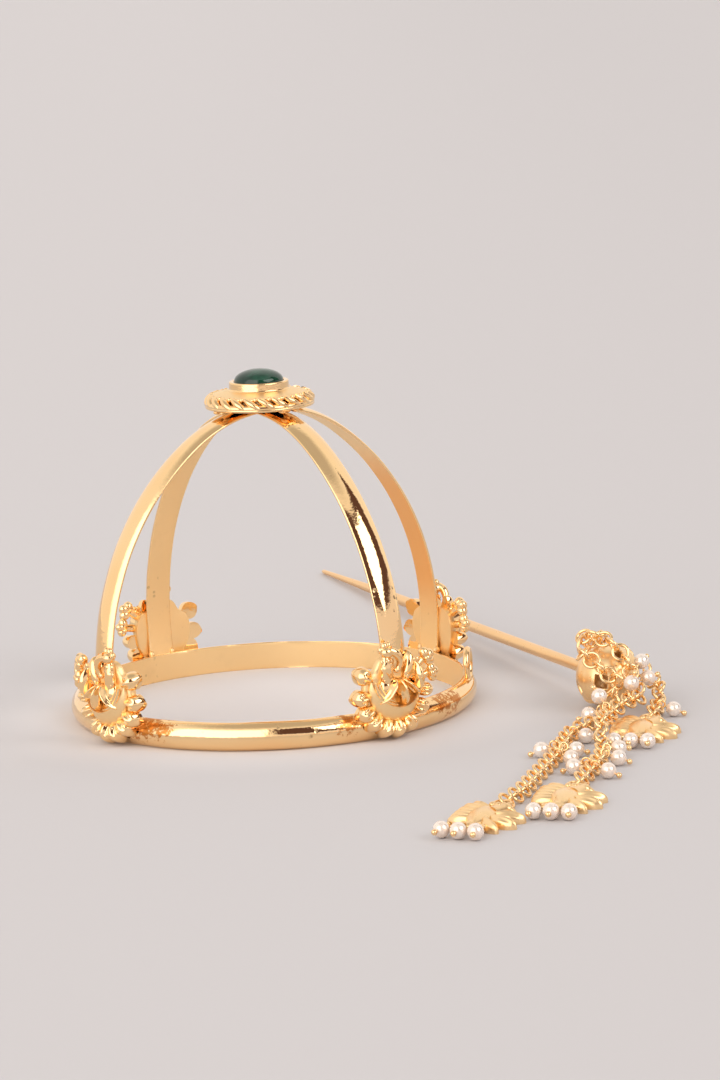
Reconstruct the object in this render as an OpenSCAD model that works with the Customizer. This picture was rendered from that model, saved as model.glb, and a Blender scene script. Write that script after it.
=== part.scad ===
// Hair bun ornament: a soldered cage that sits over the bun, and the stick with a tassel that pins it.
// The cage stands on the surface with its centre at the origin. The stick lies beside it.

/* [Base ring] */
// Outside diameter of the base ring
ring_d = 80; // [78:0.5:84]
// Height of the ring's half-round band
ring_h = 5.5; // [4.5:0.1:6]
// Thickness of the band at its crest
ring_t = 2.5; // [2:0.1:3]
// Outside diameter of the two wire eyes for the stick
eye_d = 7; // [6:0.1:7.4]
// Wire diameter of the eyes
eye_wire = 1.3; // [1:0.1:1.6]

/* [Arches] */
// Width of the two half-round strips
strip_w = 5.7; // [4.5:0.1:6.5]
// Thickness of the strips at their crest
strip_t = 1.2; // [1:0.1:1.6]
// Inside height of the cage under the crossing
cage_h = 59.2; // [56:0.2:62]
// Largest inside radius of the arches
cage_r = 39.3; // [38.8:0.1:39.8]
// Radius of the arc over the top of the cage
crown_r = 31; // [30:0.5:32]

/* [Top boss] */
// Diameter of the boss's rim
boss_d = 21.4; // [20:0.2:23]
// Outside diameter of the bezel
bezel_d = 11.7; // [11:0.1:12.4]
// Number of slanted strands in the pierced border
border_n = 22; // [18:1:26]
// Height of the stone's apex above the surface
apex_z = 67.5; // [67:0.1:68]

/* [Castings] */
// Radius of the motif's bowl
bowl_r = 6; // [5.5:0.1:6.3]
// Radius to the middle of the petals
petal_ring_r = 8; // [7.8:0.05:8.1]
// Petal length
petal_l = 3.5; // [3:0.1:3.6]
// Petal width
petal_w = 2.4; // [2.1:0.1:2.7]

/* [Stick] */
// Diameter of the pierced half of the ball
ball_d = 12.6; // [12:0.1:13]
// Diameter of the rod at the ball
rod_d = 2.3; // [2:0.1:2.6]
// Number of windows in the ball
windows_n = 5; // [4:1:6]
// Side of a square window
window_w = 2.6; // [2:0.1:3]

/* [Tassel] */
// Outside diameter of a chain link
link_d = 3.7; // [3.6:0.05:3.8]
// Wire diameter of a chain link
link_wire = 0.65; // [0.5:0.05:0.7]
// Distance between the centres of neighbouring links
link_pitch = 2.2; // [2.1:0.05:2.3]
// Pearl diameter
pearl_d = 3; // [2.8:0.1:3.2]

/* [Hidden] */
$fn = 48;
gap = 0.05;
up = [0, 0, 1];

// Cage
ring_land = 0.5;
strip_land = 0.35;
spring_z = 12.7;
foot_z = 4.4;
crown_z = cage_h - crown_r;
flank_r = (pow(cage_r, 2) + pow(crown_z - spring_z, 2) - pow(crown_r, 2)) / (2 * (cage_r - crown_r));
flank_x = cage_r - flank_r;
foot_angle = asin((foot_z - spring_z) / flank_r);
join_angle = atan2(crown_z - spring_z, -flank_x);
join_lap = 1;
join_step = 0.02;
eye_r = 38.7;
eye_z = 8.1;

// Boss
plate_z = 60.25;
plate_t = 0.6;
border_top_r = 9.4;
border_top_z = 62.7;
skirt_t = 0.6;
bezel_foot_z = 63.2;
bezel_top_z = 65.2;
bezel_t = 0.95;
strand_r = 0.42;
strand_lean = -14;
stone_r = bezel_d / 2 - bezel_t - gap;
stone_dome_r = 5.9;
stone_foot_z = 63.7;

// Motif, seen from outside with x to the right, z up and y towards the cage
motif_back_r = 40.3;
motif_z = 9.9;
motif_plate_t = 1.3;
petal_y = -1.45;
// Angles of the petals, the bead cluster and the flower head round the bowl
PETAL_ANGLES = [157, 186, 211, 232, 252, 272, 293, 323, 350];
cluster_angle = 12;
flower_angle = 34;
// Neck, three feathers, horn and beak: x, z and y of the root, angle, length, and radius at the root and the tip
TAPERS = [[-1.7, 1.2, -1.5, 94, 6.2, 2, 1.2], [-0.5, 2.4, -2.4, 247, 5.5, 0.85, 0.4],
    [-0.2, 1.8, -2.6, 281, 4.8, 0.95, 0.5], [0.5, 1.6, -2.4, 312, 4.3, 0.85, 0.4],
    [3.4, -1.3, -2, 71, 5.6, 1.05, 0.3], [-1.5, 7.8, -2.4, 293, 3.8, 0.85, 0.5]];
head_at = [-2.1, -2, 7.5];
head_r = 1.45;
crest_r = 0.52;
// Back right, back left, front left and front right; every second one is mirrored
MOTIF_AZIMUTHS = [44, 133.5, 229.5, 313];
bowl_h = 2.3;
breast_x = 0.2;
breast_z = 2.6;
breast_r = 5.6;

// Stick
ball = [66.5, -4, 5.95];
ball_r = ball_d / 2;
ball_wall = 0.7;
cap_r = 5.9;
seam_r = 6.35;
seam_wire = 0.28;
pole_tilt = 43.3;
pole_azimuth = 206.7;
window_first = 64.5;
window_polar = 64;
rod_tip = [-11.4, 142.3, 0.62];
rod_tip_d = 0.9;
taper_l = 45;

// Standing ring at the ball's pole, which carries the strands
stand_r = 1.9;
stand_wire = 0.68;
stand_up = unit([-0.25, -0.15, 0.95]);
stand_axis = unit(cross(cross(stand_up, [0.9, -0.43, 0]), stand_up));
pole = ball + ball_r * [sin(pole_tilt) * cos(pole_azimuth), sin(pole_tilt) * sin(pole_azimuth), cos(pole_tilt)];
stand_centre = pole + (stand_r + 0.1) * stand_up;

// Tassel
link_r = (link_d - link_wire) / 2;
chain_z = link_r * sin(45) + link_wire / 2 + 0.02;
pin_loop_r = 0.75;
pin_wire = 0.4;
pin_head_r = 0.55;
pearl_r = pearl_d / 2;
pearl_gap = 0.1;
pearl_reach = pin_loop_r + pin_wire / 2 + pearl_gap + pearl_r;
pin_reach = pearl_reach + pearl_r + pearl_gap + pin_head_r;
bail_r = 1.5;
bail_wire = 0.6;
bail_y = 8.6;
bail_z = 1.5;
bail_step = 1.85;
charm_t = 1.9;
charm_loop_r = 0.8;
charm_loop_wire = 0.56;
charm_loop_y = -8.2;
charm_loop_z = 1.5;
charm_loop_gap = 2.6;

// Each strand: its first knots lie over the ball, the rest on the surface
route_a = [[61.98, -7.78, 11.41], [62.98, -10.38, 11.65], [66.46, -12.03, 8.49], [68.76, -12.39, 7.04],
    [68.25, -12.06, 4.25], [66.94, -15.48, 1.08], [67.35, -19.68, 1.65], [64.64, -25.05, chain_z],
    [61.35, -33.93, chain_z], [60.43, -48.94, chain_z], [57.97, -67.95, chain_z], [56.62, -77.97, chain_z],
    [54.16, -87.06, chain_z]];
route_b = [[62.21, -5.88, 14.34], [65.03, -7.07, 14.51], [68.26, -8.78, 13.06], [70.24, -9.83, 10.74],
    [71.3, -10.06, 7.98], [72.27, -10.49, 5.99], [73.07, -14.2, 3.99], [71.36, -18.11, 4.27],
    [69.18, -23.27, 3.88], [68.03, -30.97, 4.01], [67.71, -38.32, 4.82], [68.4, -46, 1.82],
    [68.6, -54, chain_z], [66.23, -72.21, chain_z]];
route_c = [[62.86, -4.45, 13.26], [64.3, -2.63, 13.69], [64.16, 0.28, 12.64], [66.36, 2.79, 10.85],
    [69.48, 3.26, 8.37], [72.38, 2.25, 6.42], [74.55, -0.07, 4.6], [76.26, -5.23, 3.8],
    [76.37, -9.1, 2.11], [76.18, -13.57, chain_z], [75.6, -19, chain_z]];
ROUTES = [route_a, route_b, route_c];
STRANDS = ["a", "b", "c"];

// Pearls on the strands: strand, then the place that the pearl hangs towards at its own height
floor_z = pearl_r + 0.02;
HUNG = [
    [0, [63.8, -17.43, 1.54]], [0, [65, -35.4, floor_z]], [0, [56.8, -46.6, floor_z]],
    [0, [64.72, -46.42, floor_z]], [0, [62.6, -53.4, floor_z]], [1, [72.84, -7.95, 9.56]],
    [1, [73.56, -8.09, 6.42]], [1, [72.7, -17.18, 7.48]], [1, [66, -24, 6.6]], [1, [72.8, -46.6, 1.9]],
    [1, [72.6, -53.6, floor_z]], [1, [64.6, -60.4, floor_z]], [1, [71.4, -63.6, floor_z]],
    [2, [78.99, -13.6, floor_z]]];
CHARM_FAN = [-10, 0, 10];

GOLD = "#F0C27B";
PEARL = "#F4EEE6";
STONE = "#1F4A35";

// Vectors
function unit(v) = v / norm(v);
function flat(deg) = [cos(deg), sin(deg), 0];

// A point on a smooth curve through the knots, u from 0 to 1 between knots k and k + 1
function knot(p, k) = p[max(0, min(len(p) - 1, k))];
function smooth(p, k, u) = let (a = knot(p, k - 1), b = knot(p, k), c = knot(p, k + 1), d = knot(p, k + 2))
    b + u / 2 * (c - a) + u * u * (a - 2.5 * b + 2 * c - d / 2) + u * u * u * (1.5 * b - a / 2 - 1.5 * c + d / 2);
function curve(p) = concat([for (k = [0:len(p) - 2]) for (j = [0:9]) smooth(p, k, j / 10)], [p[len(p) - 1]]);
function lengths(p) = [for (i = 0, s = 0; i < len(p); s = s + norm(knot(p, i + 1) - p[i]), i = i + 1) s];
function along(p, l, s) = [for (axis = [0:2]) lookup(s, [for (i = [0:len(p) - 1]) [l[i], p[i][axis]]])];

// Each strand's link centres, worked out once
function link_centres(route) = let (p = curve(route), l = lengths(p), n = floor(l[len(l) - 1] / link_pitch))
    [for (i = [0:n]) let (c = along(p, l, i * link_pitch)) [c[0], c[1], max(c[2], chain_z)]];
LINKS = [for (r = ROUTES) link_centres(r)];
function heading(c, i) = unit(knot(c, i + 1) - knot(c, i - 1));
function leftward(t) = unit(cross(up, t));
function link_side(t, i) = let (s = leftward(t), n = cross(t, s)) (s + (i % 2 == 0 ? 1 : -1) * n) / sqrt(2);

// The point of a link's wire that is nearest to a pearl's place
function wire_out(strand, i, place) = let (c = LINKS[strand], t = heading(c, i), a = link_side(t, i),
    v = place - c[i]) c[i] + link_r * unit((v * t) * t + (v * a) * a);
function wire_tangent(strand, i, place) = let (c = LINKS[strand], t = heading(c, i), a = link_side(t, i),
    v = place - c[i]) cross(cross(t, a), unit((v * t) * t + (v * a) * a));
function nearest(c, place, i = 0, best = 0) = i == len(c) ? best
    : nearest(c, place, i + 1, norm(c[i] - place) < norm(c[best] - place) ? i : best);

// The link that carries a pearl: of the nearest two, the one whose wire is raised on the pearl's side
function carrier(strand, place) = let (i = nearest(LINKS[strand], place))
    wire_out(strand, i, place)[2] > wire_out(strand, i + 1, place)[2] ? i : i + 1;

// A pin's frame: where its loop is centred, the way it points and its loop's axis
function square_to(v, d) = unit(v - (v * d) * d);
function fallen(w, dir, z) = let (fall = (z - w[2]) / pearl_reach, level = unit([dir[0], dir[1], 0]))
    sqrt(1 - fall * fall) * level + fall * up;
function hung_pin(row) = let (strand = row[0], place = row[1], i = carrier(strand, place),
    w = wire_out(strand, i, place), d = fallen(w, place - w, place[2]))
    [w, d, square_to(wire_tangent(strand, i, place), d)];

// A charm's frame follows its strand's last link
function charm_heading(strand) = let (c = LINKS[strand], t = heading(c, len(c) - 1)) unit([t[0], t[1], 0]);
function charm_centre(strand) = let (c = LINKS[strand], e = c[len(c) - 1], t = charm_heading(strand))
    [e[0] + t[0] * (bail_step + bail_y), e[1] + t[1] * (bail_step + bail_y), 0.02];
function charm_point(strand, x, y, z) = let (t = charm_heading(strand), right = cross(up, t))
    charm_centre(strand) + x * right - y * t + z * up;
function charm_pin(strand, k) = let (t = charm_heading(strand), right = cross(up, t), a = CHARM_FAN[k],
    dir = cos(a) * t + sin(a) * right,
    w = charm_point(strand, charm_loop_gap * (k - 1), charm_loop_y, charm_loop_z) + charm_loop_r * dir,
    d = fallen(w, dir, floor_z)) [w, d, square_to(cross(up, dir), d)];

// Places its children with x and z along the given directions
module aimed(p, x, z) {
    y = cross(z, x);
    multmatrix([[x[0], y[0], z[0], p[0]], [x[1], y[1], z[1], p[1]], [x[2], y[2], z[2], p[2]], [0, 0, 0, 1]])
        children();
}

module loop(r, wire) {
    rotate_extrude() translate([r, 0]) circle(d = wire);
}

// A bar with an upright flat face at x = 0, a crest at x = t and small lands at its ends
module half_round(w, t, land) {
    r = (pow(t - land, 2) + pow(w / 2, 2)) / (2 * (t - land));
    intersection() {
        translate([0, -w / 2]) square([t, w]);
        translate([t - r, 0]) circle(r);
    }
}

// A pointed oval of revolution about y: l long and w wide
module lens(l, w) {
    r = (l * l + w * w) / (4 * w);
    intersection() {
        translate([0, r - w / 2, 0]) sphere(r);
        translate([0, w / 2 - r, 0]) sphere(r);
    }
}

// A pointed oval in the plane
module leaf(l, w) {
    r = (l * l + w * w) / (4 * w);
    intersection() {
        translate([0, r - w / 2]) circle(r);
        translate([0, w / 2 - r]) circle(r);
    }
}

module base_ring() {
    rotate_extrude() translate([ring_d / 2 - ring_t, ring_h / 2]) half_round(ring_h, ring_t, ring_land);
    for (side = [-1, 1])
        translate([side * eye_r, 0, eye_z]) rotate([0, 90, 0]) loop((eye_d - eye_wire) / 2, eye_wire);
}

module arc_strip(r, from, to, grow) {
    rotate([90, 0, 0]) rotate([0, 0, from]) rotate_extrude(angle = to - from)
        translate([r - grow, 0]) half_round(strip_w + 2 * grow, strip_t + 2 * grow, strip_land + grow);
}

module arch() {
    translate([0, 0, crown_z]) arc_strip(crown_r, join_angle - join_lap, 180 - join_angle + join_lap, 0);
    for (side = [0, 180])
        rotate([0, 0, side]) translate([flank_x, 0, spring_z]) arc_strip(flank_r, foot_angle, join_angle, join_step);
}

module skirt() {
    rotate_extrude() polygon([
        [stone_r - 0.6, bezel_foot_z + 0.1], [border_top_r + 0.1, border_top_z - 0.35],
        [border_top_r + 0.1, border_top_z], [bezel_d / 2 + 0.6, bezel_foot_z + 0.15],
        [bezel_d / 2, bezel_foot_z + 0.4], [bezel_d / 2, bezel_top_z],
        [bezel_d / 2 - bezel_t - 0.1, bezel_top_z], [bezel_d / 2 - bezel_t, bezel_top_z - 0.2],
        [bezel_d / 2 - bezel_t, stone_foot_z - gap], [stone_r - 0.6, stone_foot_z - gap]]);
}

module border_strand(i) {
    lean = i * 360 / border_n;
    foot = (boss_d / 2 - 0.4) * flat(lean) + (plate_z + plate_t - 0.15) * up;
    top = (border_top_r - 0.1) * flat(lean + strand_lean) + (border_top_z - 0.2) * up;
    d = unit(top - foot);
    aimed(foot, square_to(up, d), d) cylinder(r = strand_r, h = norm(top - foot));
}

module boss() {
    translate([0, 0, plate_z]) cylinder(d = boss_d, h = plate_t);
    skirt();
    for (i = [0:border_n - 1]) border_strand(i);
}

module petal(at_angle) {
    translate([0, petal_y, 0]) rotate([0, -at_angle, 0])
        translate([petal_ring_r, 0, 0]) rotate([90, 0, 0]) lens(petal_l, petal_w);
}

module flower(at_angle, r) {
    rotate([0, -at_angle, 0]) translate([petal_ring_r + 0.4, -1.6, 0]) {
        translate([0, 0.75, 0]) rotate([0, -90, 0]) cylinder(d = 1.1, h = 2.6);
        sphere(r);
        for (k = [0:4]) rotate([0, k * 72, 0]) translate([r * 1.25, 0.5, 0]) sphere(r * 0.8);
    }
}

module bowl() {
    dome_r = (bowl_r * bowl_r + bowl_h * bowl_h) / (2 * bowl_h);
    difference() {
        intersection() {
            translate([0, dome_r - bowl_h - motif_plate_t, 0]) sphere(dome_r);
            rotate([90, 0, 0]) cylinder(r = bowl_r - 0.02, h = 6);
        }
        translate([breast_x, -motif_plate_t, breast_z]) rotate([90, 0, 0]) cylinder(r = breast_r, h = 6);
    }
}

module motif_plate() {
    rotate([90, 0, 0]) linear_extrude(motif_plate_t) difference() {
        circle(6.7);
        translate([2.6, 5]) circle(2.4);
        translate([-4.4, 5.2]) circle(1.6);
    }
}

module bird() {
    for (v = TAPERS) translate([v[0], v[2], v[1]]) rotate([0, 90 - v[3], 0]) cylinder(h = v[4], r1 = v[5], r2 = v[6]);
    translate(head_at) sphere(head_r);
    for (k = [-1:1]) translate(head_at + [k * 1.1, 0.25, 1.45 - abs(k) * 0.35]) sphere(crest_r);
}

module motif() {
    motif_plate();
    bowl();
    for (at_angle = PETAL_ANGLES) petal(at_angle);
    flower(cluster_angle, 0.6);
    flower(flower_angle, 0.75);
    bird();
}

module placed_motif(azimuth, flipped) {
    rotate([0, 0, azimuth + 90]) translate([0, -motif_back_r, motif_z]) {
        if (flipped) mirror([1, 0, 0]) motif();
        else motif();
    }
}

module cage() {
    color(GOLD) union() {
        base_ring();
        for (turn = [45, 135]) rotate([0, 0, turn]) arch();
        boss();
        for (i = [0:3]) placed_motif(MOTIF_AZIMUTHS[i], i % 2 == 0);
    }
}

module cabochon() {
    color(STONE) intersection() {
        translate([0, 0, apex_z - stone_dome_r]) sphere(stone_dome_r);
        translate([0, 0, stone_foot_z]) cylinder(r = stone_r, h = 8);
    }
}

module ball_shell() {
    difference() {
        union() {
            intersection() {
                sphere(ball_r);
                translate([0, 0, ball_r]) cube(2 * ball_r + 2, center = true);
            }
            intersection() {
                sphere(cap_r);
                translate([0, 0, -ball_r + 0.1]) cube(2 * ball_r + 0.2, center = true);
            }
            for (side = [-1, 1]) translate([0, 0, side * seam_wire * 0.8]) loop(seam_r - 0.15, 2 * seam_wire);
        }
        sphere(cap_r - ball_wall);
        for (i = [0:windows_n - 1])
            rotate([0, window_polar, window_first + i * 360 / windows_n]) rotate([0, 0, 45])
                translate([-window_w / 2, -window_w / 2, 2.5]) cube([window_w, window_w, ball_r]);
    }
}

module rod() {
    d = unit(rod_tip - ball);
    l = norm(rod_tip - ball);
    aimed(ball, square_to(up, d), d) {
        translate([0, 0, cap_r - ball_wall]) cylinder(d = rod_d, h = l - taper_l - cap_r + ball_wall);
        translate([0, 0, l - taper_l]) cylinder(d1 = rod_d, d2 = rod_tip_d, h = taper_l);
    }
}

module hair_stick() {
    color(GOLD) union() {
        translate(ball) rotate([0, pole_tilt, pole_azimuth]) ball_shell();
        rod();
        aimed(stand_centre, stand_up, stand_axis) loop(stand_r, stand_wire);
    }
}

module chain(strand) {
    c = LINKS[strand];
    color(GOLD) for (i = [0:len(c) - 1]) {
        t = heading(c, i);
        aimed(c[i], t, cross(t, link_side(t, i))) loop(link_r, link_wire);
    }
}

module charm_outline() {
    circle(2.7);
    translate([-3.4, 1.6]) rotate(155) leaf(8.4, 4.6);
    translate([3.2, -1.4]) rotate(-12) leaf(8, 3);
    translate([2.8, -3.2]) rotate(-42) leaf(7.4, 2.8);
    translate([1.6, 3]) rotate(62) leaf(5.6, 2.6);
    translate([0, 5.7]) circle(1.3);
    translate([0, 3.6]) square([1.6, 4], center = true);
    translate([0, -4.4]) square([1.8, 5.4], center = true);
    translate([-charm_loop_gap - 0.3, charm_loop_y + 0.8]) square([2 * charm_loop_gap + 0.6, 1]);
}

module charm_relief() {
    intersection() {
        translate([0, 0, charm_t - 2.1]) sphere(3);
        translate([0, 0, 0.5]) cylinder(r = 2.6, h = 3);
    }
    for (k = [0:3]) translate([-1.6 - k * 1.15, 0.6 + k * 0.8, charm_t]) rotate([0, 0, 65]) rotate([0, 90, 0])
        cylinder(r = 0.36, h = 3.6 - 0.5 * k, center = true);
    for (v = [[4.3, -1.6, -12], [3.9, -4.1, -42]])
        translate([v[0], v[1], charm_t]) rotate([0, 90, v[2]]) cylinder(r = 0.4, h = 4.4, center = true);
    translate([2.3, 4.5, charm_t]) sphere(1);
    for (k = [-1:1]) translate([k * 1.1, 6.6, charm_t - 0.3]) sphere(0.7);
}

module charm(strand) {
    t = charm_heading(strand);
    color(GOLD) aimed(charm_centre(strand), cross(up, t), up) {
        linear_extrude(charm_t) charm_outline();
        charm_relief();
        translate([0, bail_y, bail_z]) loop(bail_r, bail_wire);
        for (k = [-1:1]) translate([k * charm_loop_gap, charm_loop_y, charm_loop_z])
            loop(charm_loop_r, charm_loop_wire);
    }
}

module pin(p) {
    aimed(p[0], p[1], p[2]) {
        loop(pin_loop_r, pin_wire);
        translate([pin_loop_r, 0, 0]) rotate([0, 90, 0]) cylinder(d = pin_wire, h = pin_reach - pin_loop_r);
        translate([pin_reach, 0, 0]) sphere(pin_head_r);
    }
}

module pearl(p) {
    color(PEARL) aimed(p[0], p[1], p[2]) translate([pearl_reach, 0, 0]) difference() {
        sphere(pearl_r);
        rotate([0, 90, 0]) cylinder(d = pin_wire + 2 * pearl_gap, h = pearl_d + 2, center = true);
    }
}

module pins(strand) {
    color(GOLD) {
        for (row = HUNG) if (row[0] == strand) pin(hung_pin(row));
        for (k = [0:len(CHARM_FAN) - 1]) pin(charm_pin(strand, k));
    }
}

cage();
cabochon();
hair_stick();
for (s = [0:len(STRANDS) - 1]) {
    chain(s);
    charm(s);
    pins(s);
    for (k = [0:len(CHARM_FAN) - 1])
        pearl(charm_pin(s, k));
}
for (i = [1:len(HUNG)])
    pearl(hung_pin(HUNG[i - 1]));
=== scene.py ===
"""Hair bun ornament: the looks of a gold plated bun cage and of the tasselled hair stick that pins it.

Lengths in the shape functions are millimetres in the frame of the part: the origin is the base ring's
centre on the surface, +Z is up and +X runs through the two eyes. A mesh is made in metres.
"""

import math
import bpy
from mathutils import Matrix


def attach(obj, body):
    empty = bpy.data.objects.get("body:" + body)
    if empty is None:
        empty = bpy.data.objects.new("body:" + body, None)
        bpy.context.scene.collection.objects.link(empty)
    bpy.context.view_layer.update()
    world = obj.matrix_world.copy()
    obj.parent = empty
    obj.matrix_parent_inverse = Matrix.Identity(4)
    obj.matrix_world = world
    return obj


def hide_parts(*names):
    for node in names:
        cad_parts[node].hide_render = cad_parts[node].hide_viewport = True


bl_info = {
    "name": "Hair bun ornament",
    "version": (1, 0, 0),
    "blender": (4, 5, 0),
    "location": "View3D > Sidebar > Ornament",
    "description": "Dresses the packed bun cage and its hair stick, and sets up the studio",
    "category": "Object",
}

import bmesh
import bpy
import numpy as np
from bpy.props import FloatProperty, FloatVectorProperty, IntProperty, PointerProperty
from mathutils import Matrix, Vector

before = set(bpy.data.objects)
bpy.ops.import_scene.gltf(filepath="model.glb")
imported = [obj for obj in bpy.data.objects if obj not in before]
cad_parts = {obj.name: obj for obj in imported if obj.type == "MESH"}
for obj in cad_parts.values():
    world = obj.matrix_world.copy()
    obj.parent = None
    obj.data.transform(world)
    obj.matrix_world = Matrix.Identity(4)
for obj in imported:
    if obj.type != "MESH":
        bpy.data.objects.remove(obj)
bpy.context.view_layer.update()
BODY = "root"
MM = 0.001
TURN = 2 * math.pi
X, Y, UP = np.eye(3)
FULL_HEIGHT = 1080
# Metres within which points become one, degrees past which an edge stays sharp, also for castings, and the
# radians by which a dome's profile stops short of its pole
MERGE = 1e-6
CREASE = 38.0
CAST_CREASE = 50.0
POLE = 0.004


# Vectors


def unit(v):
    """Each vector divided by its length."""
    v = np.asarray(v, float)
    return v / np.linalg.norm(v, axis=-1, keepdims=True)


def square_to(v, d):
    """The part of v at right angles to the unit vector d, at unit length."""
    return unit(v - np.dot(v, d) * d)


def polar(radius, angle, *height):
    """Points at a radius and an angle in radians round the Z axis, with their height where one is given."""
    return np.stack(np.broadcast_arrays(radius * np.cos(angle), radius * np.sin(angle), *height), axis=-1)


def flat(degrees):
    """The level unit vector at an angle from +X."""
    return polar(1.0, np.radians(degrees), 0.0)


def on_sphere(down, azimuth):
    """Two unit vectors, at degrees down from the pole and round: outwards, and on down along the meridian."""
    a, level = math.radians(down), flat(azimuth)
    return math.sin(a) * level + math.cos(a) * UP, math.cos(a) * level - math.sin(a) * UP


def frame_of(x, z):
    """Matrix whose columns are x, z cross x and z, for points given along those axes."""
    return np.stack([x, np.cross(z, x), z], axis=1)


# Grids of points and the shells made of them


def put(name, data):
    """Adds an object to the scene."""
    made = bpy.data.objects.new(name, data)
    bpy.context.scene.collection.objects.link(made)
    return made


def quads_of(rows, columns, rows_wrap):
    """Corner numbers of a grid's quads. Its columns close on themselves, as do its rows where they wrap."""
    r = np.arange(rows if rows_wrap else rows - 1)[:, None]
    c = np.arange(columns)[None, :]
    r2, c2 = (r + 1) % rows, (c + 1) % columns
    corners = [r * columns + c, r * columns + c2, r2 * columns + c2, r2 * columns + c]
    return np.stack(np.broadcast_arrays(*corners), axis=-1).reshape(-1, 4)


class Shell:
    """Closed patches in millimetres that become one mesh. place carries each to where it belongs."""

    def __init__(self, place=None):
        self.place = place
        self.points = []
        self.quads = []
        self.finishes = []
        self.total = 0

    def add(self, grid, rows_wrap=False, finish=0):
        """Adds a grid (rows, columns, 3). Its columns close on themselves, its ends at their middles.

        finish is the number of the patch's finish, or that of each quad. The signed volume is a sixth of
        the sum of a . (b x c) over the triangles. Where it is negative the quads turn.
        """
        grid = np.asarray(grid, float)
        if self.place:
            grid = self.place(grid)
        if not rows_wrap:
            ends = [np.broadcast_to(grid[k].mean(axis=0), grid[k].shape)[None] for k in (0, -1)]
            grid = np.concatenate([ends[0], grid, ends[1]])
        rows, columns = grid.shape[:2]
        points = grid.reshape(-1, 3)
        quads = quads_of(rows, columns, rows_wrap)
        a, b, c, d = (points[quads[:, k]] - points[0] for k in range(4))
        if np.sum(a * np.cross(b, c)) + np.sum(a * np.cross(c, d)) < 0:
            quads = quads[:, ::-1]
        self.points.append(points)
        self.quads.append(quads + self.total)
        self.finishes.append(np.broadcast_to(finish, (rows if rows_wrap else rows - 1, columns)).reshape(-1))
        self.total += len(points)
        return self

    def ring(self, *sizes):
        """Adds a torus."""
        return self.add(torus(*sizes), rows_wrap=True)

    def lathe(self, profile, n, finish=0):
        """Adds a profile turned about the Z axis."""
        return self.add(revolve(profile, n), rows_wrap=True, finish=finish)

    def piece(self, name, slot, finishes, nodes=(), crease=CREASE):
        """Makes the patches one object that rides with the part, and hides the nodes it stands for.

        Points closer than MERGE metres become one, and edges past the crease angle in degrees are kept sharp.
        """
        mesh = bpy.data.meshes.new(name)
        points, quads = np.concatenate(self.points) * MM, np.concatenate(self.quads)
        mesh.from_pydata(points.tolist(), [], quads.tolist())
        for finish in finishes:
            mesh.materials.append(looks()[finish])
        mesh.polygons.foreach_set("material_index", np.concatenate(self.finishes).astype(np.int32))
        work = bmesh.new()
        work.from_mesh(mesh)
        bmesh.ops.remove_doubles(work, verts=work.verts, dist=MERGE)
        work.to_mesh(mesh)
        work.free()
        mesh.polygons.foreach_set("use_smooth", np.ones(len(mesh.polygons), bool))
        mesh.set_sharp_from_angle(angle=math.radians(crease))
        mesh.update()
        made = put(name, mesh)
        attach(made, BODY)
        if nodes:
            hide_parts(*nodes)
        return made


def around(n):
    """n angles evenly round a circle, without the last."""
    return np.linspace(0, TURN, n, endpoint=False)


def torus(centre, x, y, radius, wire, n, m):
    """Grid of a ring: a circle in the plane of x and y, and round it circles of half the wire's width."""
    a, b = around(n)[:, None, None], around(m)[None, :, None]
    out = np.cos(a) * x + np.sin(a) * y
    return centre + (radius + wire / 2 * np.cos(b)) * out + wire / 2 * np.sin(b) * np.cross(x, y)


def revolve(profile, n):
    """Grid of a closed profile (radius, height) turned about the Z axis, with a row for each angle."""
    radius, height = np.transpose(profile)
    return polar(radius, around(n)[:, None], height)


def bead(centre, radii, axes=None, n=24, m=32):
    """Grid of an ellipsoid: latitude circles along the third axis, with radii along the three axes."""
    t = np.linspace(0, math.pi, n)[1:-1, None]
    a = around(m)[None, :]
    local = np.stack([radii[0] * np.sin(t) * np.cos(a), radii[1] * np.sin(t) * np.sin(a),
                      radii[2] * np.cos(t) * np.ones_like(a)], axis=-1)
    axes = np.eye(3) if axes is None else axes
    return centre + local @ axes.T


def tube(path, radius, side, flatness=1.0, m=16):
    """Grid of a tube: at each point of the path a circle square to it, with one radius or one a point.

    side is a rough direction that fixes the section's first axis, and flatness scales its second.
    """
    path = np.asarray(path, float)
    t = unit(np.gradient(path, axis=0))
    u = unit(side - np.sum(side * t, axis=1, keepdims=True) * t)
    v = np.cross(t, u)
    radius = np.broadcast_to(radius, len(path))[:, None, None]
    a = around(m)[None, :, None]
    return path[:, None] + radius * (np.cos(a) * u[:, None] + flatness * np.sin(a) * v[:, None])


def puff(outline, low, edge, high, fullness, rings, relief=None):
    """Grid of a cushion over a closed flat outline (n, 2): rings shrink from the outline to its middle.

    The height over a ring of scale s is edge + (high - edge)(1 - s^fullness)^(1/2), plus relief(x, y, s)
    where given. The back is flat at low.
    """
    outline = np.asarray(outline, float)
    middle = outline.mean(axis=0)
    s = np.sin(np.linspace(math.pi / 2, 0, rings))[:, None]
    s[-1] = 0.02
    xy = middle + s[:, :, None] * (outline - middle)[None]
    rise = edge + (high - edge) * np.sqrt(np.clip(1 - s ** fullness, 0, 1)) * np.ones(len(outline))
    if relief is not None:
        rise = rise + relief(xy[..., 0], xy[..., 1], s)
    back = np.stack([outline[:, 0], outline[:, 1], np.full(len(outline), low)], axis=-1)[None]
    return np.concatenate([back, np.concatenate([xy, rise[..., None]], axis=-1)])


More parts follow.
